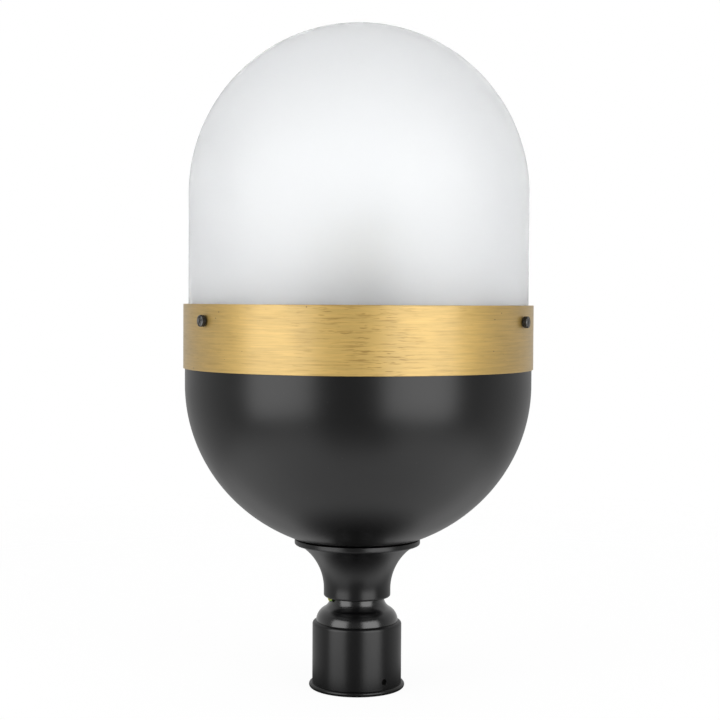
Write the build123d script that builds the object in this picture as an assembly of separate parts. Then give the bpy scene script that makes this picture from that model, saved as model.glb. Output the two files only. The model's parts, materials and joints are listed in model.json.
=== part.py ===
from build123d import *
import math
import os

# Outdoor post light, in millimetres. The origin is the centre of the sleeve's mouth, +Z is up
# and the side that faces the viewer is -Y. Angles are counted from +X towards +Y.

# Post and the sleeve that slides over it
POST_DIAMETER = 76.2
POST_CLEARANCE = 0.4
SLEEVE_WALL = 2.9
SLEEVE_HEIGHT = 61.8
SHOULDER_ROUNDING = 3.0
LEDGE_HEIGHT = 7.8
LEDGE_WIDTH = 3.5
BEAD_HEIGHT = 4.6
BEAD_PROUD = 3.0
BEAD_ROUNDING_SHARE = 0.48

# Grub screws that grip the post
GRUB_COUNT = 3
GRUB_FIRST_ANGLE = -52.7
GRUB_HEIGHT = 11.7
GRUB_RADIUS = 2.75
GRUB_CLEARANCE = 0.06
GRUB_RECESS = 1.0
GRUB_INSET = 0.05
GRUB_SOCKET_FLATS = 3.4
GRUB_SOCKET_DEPTH = 1.5

# Ogee cap on the sleeve
CAP_BASE_RADIUS = 38.0
CAP_CROWN_CURVE = 13.8
CAP_NECK_CURVE = 11.9
CAP_WALL = 3.0
CAP_WEB = 4.0
SPIGOT_LENGTH = 7.4
SPIGOT_CLEARANCE = 0.1
NECK_RADIUS = 25.0
NECK_STRAIGHT = 11.9
NECK_ROUNDING = 1.0

# Hollow threaded rod and what it clamps
ROD_RADIUS = 4.9
ROD_BORE = 3.3
ROD_TAIL = 4.0
ROD_STICK_OUT = 1.0
ROD_HOLE_CLEARANCE = 0.3
THREAD_CLEARANCE = 0.05
TUBE_RADIUS = 8.0
TUBE_CLEARANCE = 0.4
NUT_FLATS = 17.0
NUT_HEIGHT = 6.0
TOP_NUT_HEIGHT = 5.0
WASHER_THICKNESS = 2.0
LOWER_WASHER_RADIUS = 17.0
BUSHING_RADIUS = 6.5
BUSHING_THICKNESS = 2.0
SPACER_LENGTH = 35.2

# Trumpet bell
BELL_HEIGHT = 48.7
BELL_LIP_HEIGHT = 7.0
BELL_LIP_RADIUS = 31.0
BELL_LIP_ROUNDING = 2.0
BELL_LIP_ROUNDING_SHARE = 0.95
BELL_TOP_RADIUS = 54.4
BELL_WALL = 2.2
BELL_WEB = 2.0

# Saucer under the bowl
SAUCER_RADIUS = 58.3
SAUCER_FLOOR = 2.4
SAUCER_RIM = 1.8
SAUCER_GAP = 0.3
SAUCER_LOWER_ROUNDING = 1.6
SAUCER_UPPER_ROUNDING = 0.8

# Spun bowl
BOWL_RADIUS = 159.5
BOWL_DEPTH = 153.0
BOWL_FLAT_RADIUS = 46.5
BOWL_WALL = 1.2
BOWL_STRAIGHT = 32.0
BOWL_LIP_WIDTH = 11.0
BOWL_LIP_BEND = 3.0
BOWL_GASKET_RADIUS = 22.0
BOWL_GASKET_THICKNESS = 2.0
BOWL_WASHER_RADIUS = 20.0

# Gold band, its studs and the bosses for the glass screws
BAND_HEIGHT = 58.6
BAND_WALL = 1.3
BAND_CLEARANCE = 0.2
BAND_DROP = 17.1
BAND_EDGE_ROUNDING = 0.3
STUD_RADIUS = 1.45
STUD_LENGTH = 8.0
STUD_CLEARANCE = 0.15
STUD_DEPTH = 10.0
STUD_NUT_FLATS = 5.5
STUD_NUT_HEIGHT = 2.4
WELD_GAP = 0.03
BOSS_RADIUS = 4.0
BOSS_LENGTH = 2.2

# Glass dome and its seat
GLASS_BAND_GAP = 3.5
GLASS_WALL = 3.2
GLASS_STRAIGHT = 139.8
GLASS_EDGE_ROUNDING = 0.9
GLASS_GASKET_WIDTH = 7.0
GLASS_GASKET_OVERHANG = 1.3
GLASS_GASKET_THICKNESS = 2.0

# Screws that hold the glass
SCREW_COUNT = 3
SCREW_FIRST_ANGLE = -145.8
SCREW_DROP = 14.6
SCREW_RADIUS = 1.95
SCREW_CLEARANCE = 0.08
SCREW_BAND_CLEARANCE = 0.35
SCREW_STAND_OFF = 1.0
SCREW_HEAD_RADIUS = 5.2
SCREW_HEAD_HEIGHT = 4.0
SCREW_HEAD_ROUNDING = 0.8
SCREW_SLOT_WIDTH = 1.2
SCREW_SLOT_DEPTH = 1.4
SCREW_SLOT_TURN = -25.0
TIP_RADIUS = 1.6
TIP_LENGTH = 0.8
TIP_GAP = 0.3

# Stem and lamp cluster
STEM_LENGTH = 149.2
CUP_RADIUS = 44.0
CUP_HEIGHT = 30.0
CUP_WALL = 1.0
CUP_LIP_WIDTH = 6.5
CUP_ROUNDING = 4.0
PLATE_RADIUS = 44.6
PLATE_THICKNESS = 2.0
PLATE_ROUNDING = 0.6
PLATE_SCREW_RING = 40.7
PLATE_SCREW_RADIUS = 1.4
PLATE_SCREW_LENGTH = 5.0
PLATE_SCREW_HEAD_RADIUS = 2.8
PLATE_SCREW_HEAD_HEIGHT = 1.8
PLATE_SCREW_ROUNDING = 0.9

# Lamp sockets
SOCKET_COUNT = 3
SOCKET_FIRST_ANGLE = -70.0
SOCKET_RING = 28.0
SOCKET_LIFT = 14.0
SOCKET_RADIUS = 9.6
SOCKET_HEIGHT = 37.0
SOCKET_FLOOR = 14.0
SOCKET_ROUNDING = 0.8
NIPPLE_RADIUS = 4.9
NIPPLE_BORE = 3.3
NIPPLE_DROP = 7.0
NIPPLE_GRIP = 6.0
NIPPLE_NUT_FLATS = 14.0
NIPPLE_NUT_HEIGHT = 4.0
SHELL_RADIUS = 6.8
SHELL_WALL = 0.5
SHELL_HEIGHT = 20.0
SHELL_CLEARANCE = 0.1
SHELL_LIFT = 2.0
CONTACT_RADIUS = 6.2
CONTACT_THICKNESS = 1.0
CANDLE_RADIUS = 11.2
CANDLE_WALL = 1.0
CANDLE_HEIGHT = 53.0
CANDLE_ROUNDING = 0.3

# Torpedo bulbs
BULB_BASE_CLEARANCE = 0.35
BULB_CONTACT_GAP = 0.3
BULB_TIP_RADIUS = 2.5
BULB_TIP_HEIGHT = 1.7
BULB_TAPER = 2.0
BULB_COLLAR_GAP = 0.6
BULB_COLLAR_RADIUS = 7.4
BULB_COLLAR_HEIGHT = 2.4
BULB_NECK_RADIUS = 6.6
BULB_NECK_HEIGHT = 4.0
BULB_SWELL_HEIGHT = 18.0
BULB_BELLY_TOP = 32.0
BULB_RADIUS = 17.5
BULB_HEIGHT = 72.0
BULB_POINT_RADIUS = 3.6
BULB_WALL = 0.8
BULB_CURVES = (6.0, 14.0, 40.0, 3.0)
FILAMENT_STEM_RADIUS = 2.4
FILAMENT_STEM_HEIGHT = 14.0
FILAMENT_COUNT = 4
FILAMENT_RING = 4.6
FILAMENT_RADIUS = 0.8
FILAMENT_LENGTH = 30.0
FILAMENT_HUB_RADIUS = 5.6
FILAMENT_HUB_THICKNESS = 1.0

# Leads
LEAD_RADIUS = 0.7
LEAD_SPACING = 1.6
LEAD_RING = 2.2
LEAD_BEND = 7.0
LEAD_RISE = 8.0
LEAD_TAIL = 4.0
LEAD_END_GAP = 0.1

# Earth point on the cap's web, and its lead
EARTH_ANGLE = -157.0
EARTH_RING = 16.0
EARTH_SPACING = 4.0
EARTH_SCREW_RADIUS = 1.9
EARTH_SCREW_LENGTH = 4.4
EARTH_SCREW_HEAD_RADIUS = 3.4
EARTH_SCREW_HEAD_HEIGHT = 2.2
EARTH_SCREW_ROUNDING = 0.6
EARTH_HOLE_CLEARANCE = 0.1
TERMINAL_RADIUS = 4.2
TERMINAL_THICKNESS = 0.8
BARREL_RADIUS = 1.6
BARREL_LENGTH = 3.6
BARREL_LIFT = 0.3
BARREL_HEAD_GAP = 0.3
EARTH_LEAD_RADIUS = 1.1
EARTH_LEAD_OUT = 26.9
EARTH_LEAD_DIP = 2.5
EARTH_LEAD_TOP = 8.0
EARTH_LEAD_IN = 19.7
EARTH_LEAD_TAIL = 6.0
EARTH_HOLE_RADIUS = 1.4
EARTH_CURVE_SHARE = 0.96

# Radii and heights that follow from the driving sizes
sleeve_bore = POST_DIAMETER / 2 + POST_CLEARANCE
sleeve_outer = sleeve_bore + SLEEVE_WALL
ledge_bore = sleeve_bore - LEDGE_WIDTH
rod_hole = ROD_RADIUS + ROD_HOLE_CLEARANCE
tube_bore = ROD_RADIUS + TUBE_CLEARANCE
nut_bore = ROD_RADIUS + THREAD_CLEARANCE

crown_centre = CAP_BASE_RADIUS - CAP_CROWN_CURVE
neck_curve_centre = NECK_RADIUS + CAP_NECK_CURVE
cap_curves_apart = neck_curve_centre - crown_centre
neck_curve_rise = math.sqrt((CAP_CROWN_CURVE + CAP_NECK_CURVE) ** 2 - cap_curves_apart**2)
neck_curve_height = SLEEVE_HEIGHT + neck_curve_rise
neck_top = neck_curve_height + NECK_STRAIGHT
web_bottom = neck_top - CAP_WEB
barrel_height = neck_top + BARREL_LIFT + BARREL_RADIUS

lower_nut_bottom = web_bottom - WASHER_THICKNESS - NUT_HEIGHT
rod_bottom = lower_nut_bottom - ROD_TAIL

bell_web_bottom = neck_top + SPACER_LENGTH
bell_top = bell_web_bottom + BELL_WEB
bell_lip = bell_top - BELL_HEIGHT
flare_bottom = bell_lip + BELL_LIP_HEIGHT
flare_height = bell_top - flare_bottom
flare_width = BELL_TOP_RADIUS - BELL_LIP_RADIUS
flare_curve = (flare_height**2 + flare_width**2) / (2 * flare_width)
flare_centre = BELL_LIP_RADIUS + flare_curve

bowl_bottom = bell_top + SAUCER_FLOOR
bowl_centre = bowl_bottom + BOWL_DEPTH * math.sqrt(1 - (BOWL_FLAT_RADIUS / BOWL_RADIUS) ** 2)
bowl_rim = bowl_centre + BOWL_STRAIGHT
bowl_inner = BOWL_RADIUS - BOWL_WALL
bowl_floor = bowl_bottom + BOWL_WALL
bowl_washer_bottom = bowl_floor + BOWL_GASKET_THICKNESS
bowl_nut_bottom = bowl_washer_bottom + WASHER_THICKNESS
stem_bottom = bowl_nut_bottom + NUT_HEIGHT
stem_top = stem_bottom + STEM_LENGTH

band_inner = BOWL_RADIUS + BAND_CLEARANCE
band_outer = band_inner + BAND_WALL
band_bottom = bowl_rim - BAND_DROP
band_top = band_bottom + BAND_HEIGHT
stud_height = bowl_rim - STUD_DEPTH
screw_height = band_top - SCREW_DROP

glass_radius = band_inner - GLASS_BAND_GAP
glass_bottom = bowl_rim + GLASS_GASKET_THICKNESS
glass_shoulder = glass_bottom + GLASS_STRAIGHT
tip_start = glass_radius + TIP_GAP
shank_start = tip_start + TIP_LENGTH
head_start = band_outer + SCREW_STAND_OFF

cup_floor = stem_top + CUP_WALL
rod_top = cup_floor + TOP_NUT_HEIGHT + ROD_STICK_OUT
plate_bottom = stem_top + CUP_HEIGHT
plate_top = plate_bottom + PLATE_THICKNESS

socket_bottom = plate_top + SOCKET_LIFT
socket_top = socket_bottom + SOCKET_HEIGHT
socket_floor = socket_bottom + SOCKET_FLOOR
contact_top = socket_floor + CONTACT_THICKNESS
nipple_bottom = plate_bottom - NIPPLE_DROP
nipple_top = socket_bottom + NIPPLE_GRIP

bulb_tip = contact_top + BULB_CONTACT_GAP
bulb_base_radius = SHELL_RADIUS - SHELL_WALL - BULB_BASE_CLEARANCE
bulb_collar = socket_top + BULB_COLLAR_GAP
bulb_bottom = bulb_collar + BULB_COLLAR_HEIGHT

grub_angles = [GRUB_FIRST_ANGLE + turn * 360 / GRUB_COUNT for turn in range(GRUB_COUNT)]
screw_angles = [SCREW_FIRST_ANGLE + turn * 360 / SCREW_COUNT for turn in range(SCREW_COUNT)]
stud_angles = [angle + 180 / SCREW_COUNT for angle in screw_angles]
socket_angles = [SOCKET_FIRST_ANGLE + turn * 360 / SOCKET_COUNT for turn in range(SOCKET_COUNT)]
plate_screw_angles = [angle + 180 / SOCKET_COUNT for angle in socket_angles]


def turned(*lines):
    """Solid turned about the Z axis from a closed outline drawn as radius and height."""
    return revolve(Plane.XZ * make_face(lines), Axis.Z)


def lathe(*corners):
    """Turned solid with straight sides between its (radius, height, rounding) corners."""
    points = [(radius, height) for radius, height, rounding in corners]
    roundings = [rounding for radius, height, rounding in corners]
    return turned(FilletPolyline(*points, radius=roundings, close=True))


def ring(inner, outer, bottom, top):
    """Plain ring between two radii and two heights."""
    return lathe((inner, bottom, 0), (outer, bottom, 0), (outer, top, 0), (inner, top, 0))


def hex_nut(flats, hole, bottom, height):
    """Six-sided nut on the Z axis."""
    blank = RegularPolygon(flats / 2, 6, major_radius=False) - Circle(hole)
    return Pos(0, 0, bottom) * extrude(blank, height)


def on_radius(angle, height):
    """Place whose own Z axis runs out from the light's axis at that angle and height."""
    return Rot(0, 0, angle) * Pos(0, 0, height) * Rot(0, 90, 0)


def bar(radius, start, end):
    """Round bar along the Z axis."""
    return Pos(0, 0, start) * Cylinder(radius, end - start, align=(Align.CENTER, Align.CENTER, Align.MIN))


def wire_along(points, curves, radius):
    """Round wire along straight runs joined by tangent arcs."""
    path = FilletPolyline(*points, radius=curves)
    section = Plane(origin=path @ 0, z_dir=path % 0) * Circle(radius)
    return sweep(section, path=path)


def bowl_surface(radius, inset=0.0):
    """Height of the bowl's round outer or inner surface at a radius."""
    share = radius / (BOWL_RADIUS - inset)
    return bowl_centre - (BOWL_DEPTH - inset) * math.sqrt(1 - share**2)


def bowl_arc(inset, flat_height):
    """Elliptical side of the bowl, from its straight wall down to its flat floor."""
    drop = (bowl_centre - flat_height) / (BOWL_DEPTH - inset)
    sweep_angle = math.degrees(math.asin(drop))
    return EllipticalCenterArc(
        (0, bowl_centre), BOWL_RADIUS - inset, BOWL_DEPTH - inset, 0, arc_size=-sweep_angle
    )


def post_sleeve():
    """Tube over the post, with a rolled bead at its foot and a turned-in ledge on top."""
    bead_outer = sleeve_outer + BEAD_PROUD
    bead_rounding = BEAD_ROUNDING_SHARE * min(BEAD_HEIGHT, 2 * BEAD_PROUD)
    body = lathe(
        (sleeve_bore, 0, 0),
        (bead_outer, 0, bead_rounding),
        (bead_outer, BEAD_HEIGHT, bead_rounding),
        (sleeve_outer, BEAD_HEIGHT, 0),
        (sleeve_outer, SLEEVE_HEIGHT, SHOULDER_ROUNDING),
        (ledge_bore, SLEEVE_HEIGHT, 0),
        (ledge_bore, SLEEVE_HEIGHT - LEDGE_HEIGHT, 0),
        (sleeve_bore, SLEEVE_HEIGHT - LEDGE_HEIGHT, 0),
    )
    hole = bar(GRUB_RADIUS + GRUB_CLEARANCE, sleeve_bore - SLEEVE_WALL, sleeve_outer + SLEEVE_WALL)
    for angle in grub_angles:
        body -= on_radius(angle, GRUB_HEIGHT) * hole
    return body


def grub_screw(angle):
    """Headless screw with a six-sided socket, sunk in the sleeve's wall."""
    start = sleeve_bore + GRUB_INSET
    end = sleeve_outer - GRUB_RECESS
    socket = extrude(RegularPolygon(GRUB_SOCKET_FLATS / 2, 6, major_radius=False), GRUB_SOCKET_DEPTH)
    screw = bar(GRUB_RADIUS, start, end) - Pos(0, 0, end - GRUB_SOCKET_DEPTH) * socket
    return on_radius(angle, GRUB_HEIGHT) * screw


def earth_place(outward, sideways, height):
    """Point beside the earth point: outward along its angle, sideways and up."""
    return Rot(0, 0, EARTH_ANGLE) * Pos(outward, sideways, height)


def cap_arcs(inset):
    """Crown and neck arcs of the cap, outside or a wall's thickness inside, and their ends."""
    lean = math.degrees(math.atan2(neck_curve_rise, cap_curves_apart))
    crown_curve = CAP_CROWN_CURVE - inset
    start_angle = 0.0
    if inset:
        start_angle = math.degrees(math.acos((spigot_inner() - crown_centre) / crown_curve))
    crown = CenterArc((crown_centre, SLEEVE_HEIGHT), crown_curve, start_angle, lean - start_angle)
    neck_centre = (neck_curve_centre, neck_curve_height)
    neck = CenterArc(neck_centre, CAP_NECK_CURVE + inset, 180 + lean, -lean)
    return crown, neck


def spigot_inner():
    """Inner radius of the cap's spigot."""
    return ledge_bore - SPIGOT_CLEARANCE - CAP_WALL


def sleeve_cap():
    """Ogee dome with a spigot in the sleeve and a neck closed by a web that the rod clamps."""
    spigot_outer = ledge_bore - SPIGOT_CLEARANCE
    spigot_bottom = SLEEVE_HEIGHT - SPIGOT_LENGTH
    crown, neck = cap_arcs(0.0)
    inner_crown, inner_neck = cap_arcs(CAP_WALL)
    foot = Polyline(
        inner_crown @ 0,
        (spigot_inner(), spigot_bottom),
        (spigot_outer, spigot_bottom),
        (spigot_outer, SLEEVE_HEIGHT),
        crown @ 0,
    )
    head = FilletPolyline(
        neck @ 1,
        (NECK_RADIUS, neck_top),
        (rod_hole, neck_top),
        (rod_hole, web_bottom),
        (NECK_RADIUS - CAP_WALL, web_bottom),
        inner_neck @ 1,
        radius=[NECK_ROUNDING, 0, 0, 0],
    )
    body = turned(foot, crown, neck, head, inner_neck, inner_crown)
    screw_hole = bar(EARTH_SCREW_RADIUS + EARTH_HOLE_CLEARANCE, web_bottom - CAP_WEB, neck_top + CAP_WEB)
    lead_hole = bar(EARTH_HOLE_RADIUS, web_bottom - CAP_WEB, neck_top + CAP_WEB)
    body -= earth_place(EARTH_RING, EARTH_SPACING, 0) * screw_hole
    body -= earth_place(EARTH_LEAD_IN, -EARTH_SPACING, 0) * lead_hole
    return body


def neck_bell():
    """Trumpet bell with a short straight lip, closed on top by a web round the rod."""
    inner_lip = BELL_LIP_RADIUS - BELL_WALL
    inner_curve = flare_curve + BELL_WALL
    inner_rise = bell_web_bottom - flare_bottom
    centre = (flare_centre, flare_bottom)
    flare_angle = math.degrees(math.asin(flare_height / flare_curve))
    inner_angle = math.degrees(math.asin(inner_rise / inner_curve))
    flare = CenterArc(centre, flare_curve, 180, -flare_angle)
    inner_flare = CenterArc(centre, inner_curve, 180, -inner_angle)
    web = Polyline(
        flare @ 1, (rod_hole, bell_top), (rod_hole, bell_web_bottom), inner_flare @ 1
    )
    lip = FilletPolyline(
        inner_flare @ 0, (inner_lip, bell_lip), (BELL_LIP_RADIUS, bell_lip), flare @ 0,
        radius=[0, min(BELL_LIP_ROUNDING, BELL_LIP_ROUNDING_SHARE * BELL_WALL)],
    )
    return turned(flare, web, inner_flare, lip)


def saucer():
    """Thin dish whose rim stops just short of the bowl's round side."""
    rim_inner = SAUCER_RADIUS - SAUCER_RIM
    rim_top = bowl_surface(rim_inner) - SAUCER_GAP
    return lathe(
        (rod_hole, bell_top, 0),
        (SAUCER_RADIUS, bell_top, SAUCER_LOWER_ROUNDING),
        (SAUCER_RADIUS, rim_top, SAUCER_UPPER_ROUNDING),
        (rim_inner, rim_top, 0),
        (rim_inner, bowl_bottom, 0),
        (rod_hole, bowl_bottom, 0),
    )


def bowl():
    """Spun bowl: flat floor, round side, straight wall and a lip turned in under the glass."""
    side = bowl_arc(0.0, bowl_bottom)
    inner_side = bowl_arc(BOWL_WALL, bowl_floor)
    lip_edge = BOWL_RADIUS - BOWL_LIP_WIDTH
    floor = Polyline(
        side @ 1, (rod_hole, bowl_bottom), (rod_hole, bowl_floor), inner_side @ 1
    )
    rim = FilletPolyline(
        side @ 0,
        (BOWL_RADIUS, bowl_rim),
        (lip_edge, bowl_rim),
        (lip_edge, bowl_rim - BOWL_WALL),
        (bowl_inner, bowl_rim - BOWL_WALL),
        inner_side @ 0,
        radius=[BOWL_LIP_BEND, 0, 0, BOWL_LIP_BEND - BOWL_WALL],
    )
    body = turned(side, floor, inner_side, rim)
    stud_hole = bar(STUD_RADIUS + STUD_CLEARANCE, bowl_inner - BOWL_WALL, BOWL_RADIUS + BOWL_WALL)
    for angle in stud_angles:
        body -= on_radius(angle, stud_height) * stud_hole
    return body


def gold_band():
    """Straight band round the bowl's wall and the foot of the glass."""
    body = lathe(
        (band_inner, band_bottom, BAND_EDGE_ROUNDING),
        (band_outer, band_bottom, BAND_EDGE_ROUNDING),
        (band_outer, band_top, BAND_EDGE_ROUNDING),
        (band_inner, band_top, BAND_EDGE_ROUNDING),
    )
    hole = bar(SCREW_RADIUS + SCREW_BAND_CLEARANCE, band_inner - BAND_WALL, band_outer + BAND_WALL)
    for angle in screw_angles:
        body -= on_radius(angle, screw_height) * hole
    return body


def band_studs():
    """Studs welded inside the band, through the bowl's wall."""
    end = math.sqrt(band_inner**2 - STUD_RADIUS**2) - WELD_GAP
    stud = bar(STUD_RADIUS, end - STUD_LENGTH, end)
    return Compound([on_radius(angle, stud_height) * stud for angle in stud_angles])


def band_nuts():
    """Nuts on the studs, against the inside of the bowl."""
    corner = STUD_NUT_FLATS / math.sqrt(3)
    end = math.sqrt(bowl_inner**2 - corner**2) - WELD_GAP
    nut = hex_nut(STUD_NUT_FLATS, STUD_RADIUS + THREAD_CLEARANCE, end - STUD_NUT_HEIGHT, STUD_NUT_HEIGHT)
    return Compound([on_radius(angle, stud_height) * nut for angle in stud_angles])


def screw_bosses():
    """Threaded bosses behind the band for the glass screws."""
    end = math.sqrt(band_inner**2 - BOSS_RADIUS**2) - WELD_GAP
    boss = ring(SCREW_RADIUS + SCREW_CLEARANCE, BOSS_RADIUS, end - BOSS_LENGTH, end)
    return Compound([on_radius(angle, screw_height) * boss for angle in screw_angles])


def glass_gasket():
    """Soft ring between the bowl's lip and the glass."""
    outer = glass_radius + GLASS_GASKET_OVERHANG
    return ring(outer - GLASS_GASKET_WIDTH, outer, bowl_rim, glass_bottom)


def glass_dome():
    """Straight-sided glass shell with a round top, open below."""
    inner_radius = glass_radius - GLASS_WALL
    crown = CenterArc((0, glass_shoulder), glass_radius, 0, 90)
    inner_crown = CenterArc((0, glass_shoulder), inner_radius, 0, 90)
    foot = FilletPolyline(
        inner_crown @ 0, (inner_radius, glass_bottom), (glass_radius, glass_bottom), crown @ 0,
        radius=GLASS_EDGE_ROUNDING,
    )
    return turned(foot, crown, Line(crown @ 1, inner_crown @ 1), inner_crown)


def glass_screw(angle):
    """Slotted cheese-head screw through the band and its boss."""
    head_end = head_start + SCREW_HEAD_HEIGHT
    blank = lathe(
        (0, shank_start, 0),
        (SCREW_RADIUS, shank_start, 0),
        (SCREW_RADIUS, head_start, 0),
        (SCREW_HEAD_RADIUS, head_start, 0),
        (SCREW_HEAD_RADIUS, head_end, SCREW_HEAD_ROUNDING),
        (0, head_end, 0),
    )
    slot = Box(3 * SCREW_HEAD_RADIUS, SCREW_SLOT_WIDTH, 2 * SCREW_SLOT_DEPTH)
    blank -= Pos(0, 0, head_end) * Rot(0, 0, SCREW_SLOT_TURN) * slot
    return on_radius(angle, screw_height) * blank


def glass_screw_tip(angle):
    """Soft tip on the end of a glass screw."""
    return on_radius(angle, screw_height) * bar(TIP_RADIUS, tip_start, shank_start)


def threaded_rod():
    """Hollow rod from the cap's web up into the lamp cluster."""
    return ring(ROD_BORE, ROD_RADIUS, rod_bottom, rod_top)


def rod_bushing():
    """Smooth bushing where the leads leave the rod."""
    return ring(ROD_BORE, BUSHING_RADIUS, rod_bottom - BUSHING_THICKNESS, rod_bottom)


def lower_washer():
    """Washer under the cap's web."""
    return ring(rod_hole, LOWER_WASHER_RADIUS, web_bottom - WASHER_THICKNESS, web_bottom)


def neck_spacer():
    """Tube on the rod between the cap's web and the bell's web."""
    return ring(tube_bore, TUBE_RADIUS, neck_top, bell_web_bottom)


def bowl_gasket():
    """Soft ring on the bowl's floor."""
    return ring(rod_hole, BOWL_GASKET_RADIUS, bowl_floor, bowl_washer_bottom)


def bowl_washer():
    """Washer on the bowl's gasket."""
    return ring(rod_hole, BOWL_WASHER_RADIUS, bowl_washer_bottom, bowl_nut_bottom)


def stem_tube():
    """Tube over the rod from the bowl's nut to the lamp cluster."""
    return ring(tube_bore, TUBE_RADIUS, stem_bottom, stem_top)


def cluster_cup():
    """Round cup on the stem, with a lip turned in that carries the socket plate."""
    lip_edge = CUP_RADIUS - CUP_LIP_WIDTH
    body = lathe(
        (rod_hole, stem_top, 0),
        (CUP_RADIUS, stem_top, CUP_ROUNDING),
        (CUP_RADIUS, plate_bottom, CUP_WALL),
        (lip_edge, plate_bottom, 0),
        (lip_edge, plate_bottom - CUP_WALL, 0),
        (CUP_RADIUS - CUP_WALL, plate_bottom - CUP_WALL, 0),
        (CUP_RADIUS - CUP_WALL, cup_floor, CUP_ROUNDING - CUP_WALL),
        (rod_hole, cup_floor, 0),
    )
    return body - plate_screw_holes()


def plate_screw_holes():
    """Holes for the screws that hold the socket plate on the cup's lip."""
    hole_radius = PLATE_SCREW_RADIUS + THREAD_CLEARANCE
    hole = bar(hole_radius, plate_bottom - PLATE_SCREW_LENGTH, plate_top + CUP_WALL)
    return Compound([Rot(0, 0, angle) * Pos(PLATE_SCREW_RING, 0, 0) * hole for angle in plate_screw_angles])


def cluster_plate():
    """Disc on the cup that carries the lamp sockets."""
    disc = lathe(
        (0, plate_bottom, 0),
        (PLATE_RADIUS, plate_bottom, PLATE_ROUNDING),
        (PLATE_RADIUS, plate_top, PLATE_ROUNDING),
        (0, plate_top, 0),
    )
    hole_radius = NIPPLE_RADIUS + ROD_HOLE_CLEARANCE
    hole = bar(hole_radius, plate_bottom - PLATE_THICKNESS, plate_top + PLATE_THICKNESS)
    return disc - at_sockets(hole) - plate_screw_holes()


def plate_screws():
    """Pan-head screws through the socket plate into the cup's lip."""
    screw = lathe(
        (0, plate_top - PLATE_SCREW_LENGTH, 0),
        (PLATE_SCREW_RADIUS, plate_top - PLATE_SCREW_LENGTH, 0),
        (PLATE_SCREW_RADIUS, plate_top, 0),
        (PLATE_SCREW_HEAD_RADIUS, plate_top, 0),
        (PLATE_SCREW_HEAD_RADIUS, plate_top + PLATE_SCREW_HEAD_HEIGHT, PLATE_SCREW_ROUNDING),
        (0, plate_top + PLATE_SCREW_HEAD_HEIGHT, 0),
    )
    return Compound([Rot(0, 0, angle) * Pos(PLATE_SCREW_RING, 0, 0) * screw for angle in plate_screw_angles])


def at_socket(angle, piece):
    """Piece moved from the light's axis to the socket at that angle."""
    return Rot(0, 0, angle) * Pos(SOCKET_RING, 0, 0) * piece


def at_sockets(*pieces):
    """Copies of the pieces at every socket, as one group."""
    return Compound([at_socket(angle, piece) for angle in socket_angles for piece in pieces])


def socket_nipples():
    """Hollow nipples that hold the sockets above the plate."""
    return at_sockets(ring(NIPPLE_BORE, NIPPLE_RADIUS, nipple_bottom, nipple_top))


def nipple_nuts():
    """A nut below and above the plate on each nipple."""
    hole = NIPPLE_RADIUS + THREAD_CLEARANCE
    below = hex_nut(NIPPLE_NUT_FLATS, hole, plate_bottom - NIPPLE_NUT_HEIGHT, NIPPLE_NUT_HEIGHT)
    above = hex_nut(NIPPLE_NUT_FLATS, hole, plate_top, NIPPLE_NUT_HEIGHT)
    return at_sockets(below, above)


def socket_body():
    """Insulating socket body, screwed on its nipple and bored for the screw shell."""
    nipple_hole = NIPPLE_RADIUS + THREAD_CLEARANCE
    shell_hole = SHELL_RADIUS + SHELL_CLEARANCE
    return lathe(
        (nipple_hole, socket_bottom, 0),
        (SOCKET_RADIUS, socket_bottom, SOCKET_ROUNDING),
        (SOCKET_RADIUS, socket_top, SOCKET_ROUNDING),
        (shell_hole, socket_top, 0),
        (shell_hole, socket_floor, 0),
        (NIPPLE_BORE, socket_floor, 0),
        (NIPPLE_BORE, nipple_top, 0),
        (nipple_hole, nipple_top, 0),
    )


def socket_shell():
    """Screw shell in the socket."""
    bottom = socket_floor + SHELL_LIFT
    return ring(SHELL_RADIUS - SHELL_WALL, SHELL_RADIUS, bottom, bottom + SHELL_HEIGHT)


def socket_contacts():
    """Centre contact on each socket's floor."""
    return at_sockets(bar(CONTACT_RADIUS, socket_floor, contact_top))


def candle_sleeve():
    """Tube that hides the socket, standing on the plate."""
    inner = CANDLE_RADIUS - CANDLE_WALL
    top = plate_top + CANDLE_HEIGHT
    return lathe(
        (inner, plate_top, 0),
        (CANDLE_RADIUS, plate_top, CANDLE_ROUNDING),
        (CANDLE_RADIUS, top, CANDLE_ROUNDING),
        (inner, top, CANDLE_ROUNDING),
    )


def bulb_base():
    """Screw base of a bulb with its contact tip and collar."""
    shoulder = bulb_tip + BULB_TIP_HEIGHT
    return lathe(
        (0, bulb_tip, 0),
        (BULB_TIP_RADIUS, bulb_tip, 0),
        (BULB_TIP_RADIUS, shoulder, 0),
        (bulb_base_radius, shoulder + BULB_TAPER, 0),
        (bulb_base_radius, bulb_collar, 0),
        (BULB_COLLAR_RADIUS, bulb_collar, 0),
        (BULB_COLLAR_RADIUS, bulb_bottom, 0),
        (0, bulb_bottom, 0),
    )


def torpedo(inset):
    """Solid of a bulb's outer or inner surface."""
    side = FilletPolyline(
        (BULB_NECK_RADIUS - inset, bulb_bottom),
        (BULB_NECK_RADIUS - inset, bulb_bottom + BULB_NECK_HEIGHT),
        (BULB_RADIUS - inset, bulb_bottom + BULB_SWELL_HEIGHT),
        (BULB_RADIUS - inset, bulb_bottom + BULB_BELLY_TOP),
        (BULB_POINT_RADIUS - inset, bulb_bottom + BULB_HEIGHT - inset),
        (0, bulb_bottom + BULB_HEIGHT - inset),
        radius=[BULB_CURVES[0], BULB_CURVES[1], BULB_CURVES[2], BULB_CURVES[3] - inset],
    )
    return turned(side, Polyline(side @ 1, (0, bulb_bottom), side @ 0))


def bulb_glass():
    """Thin glass envelope, open at its neck."""
    return torpedo(0.0) - torpedo(BULB_WALL)


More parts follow.
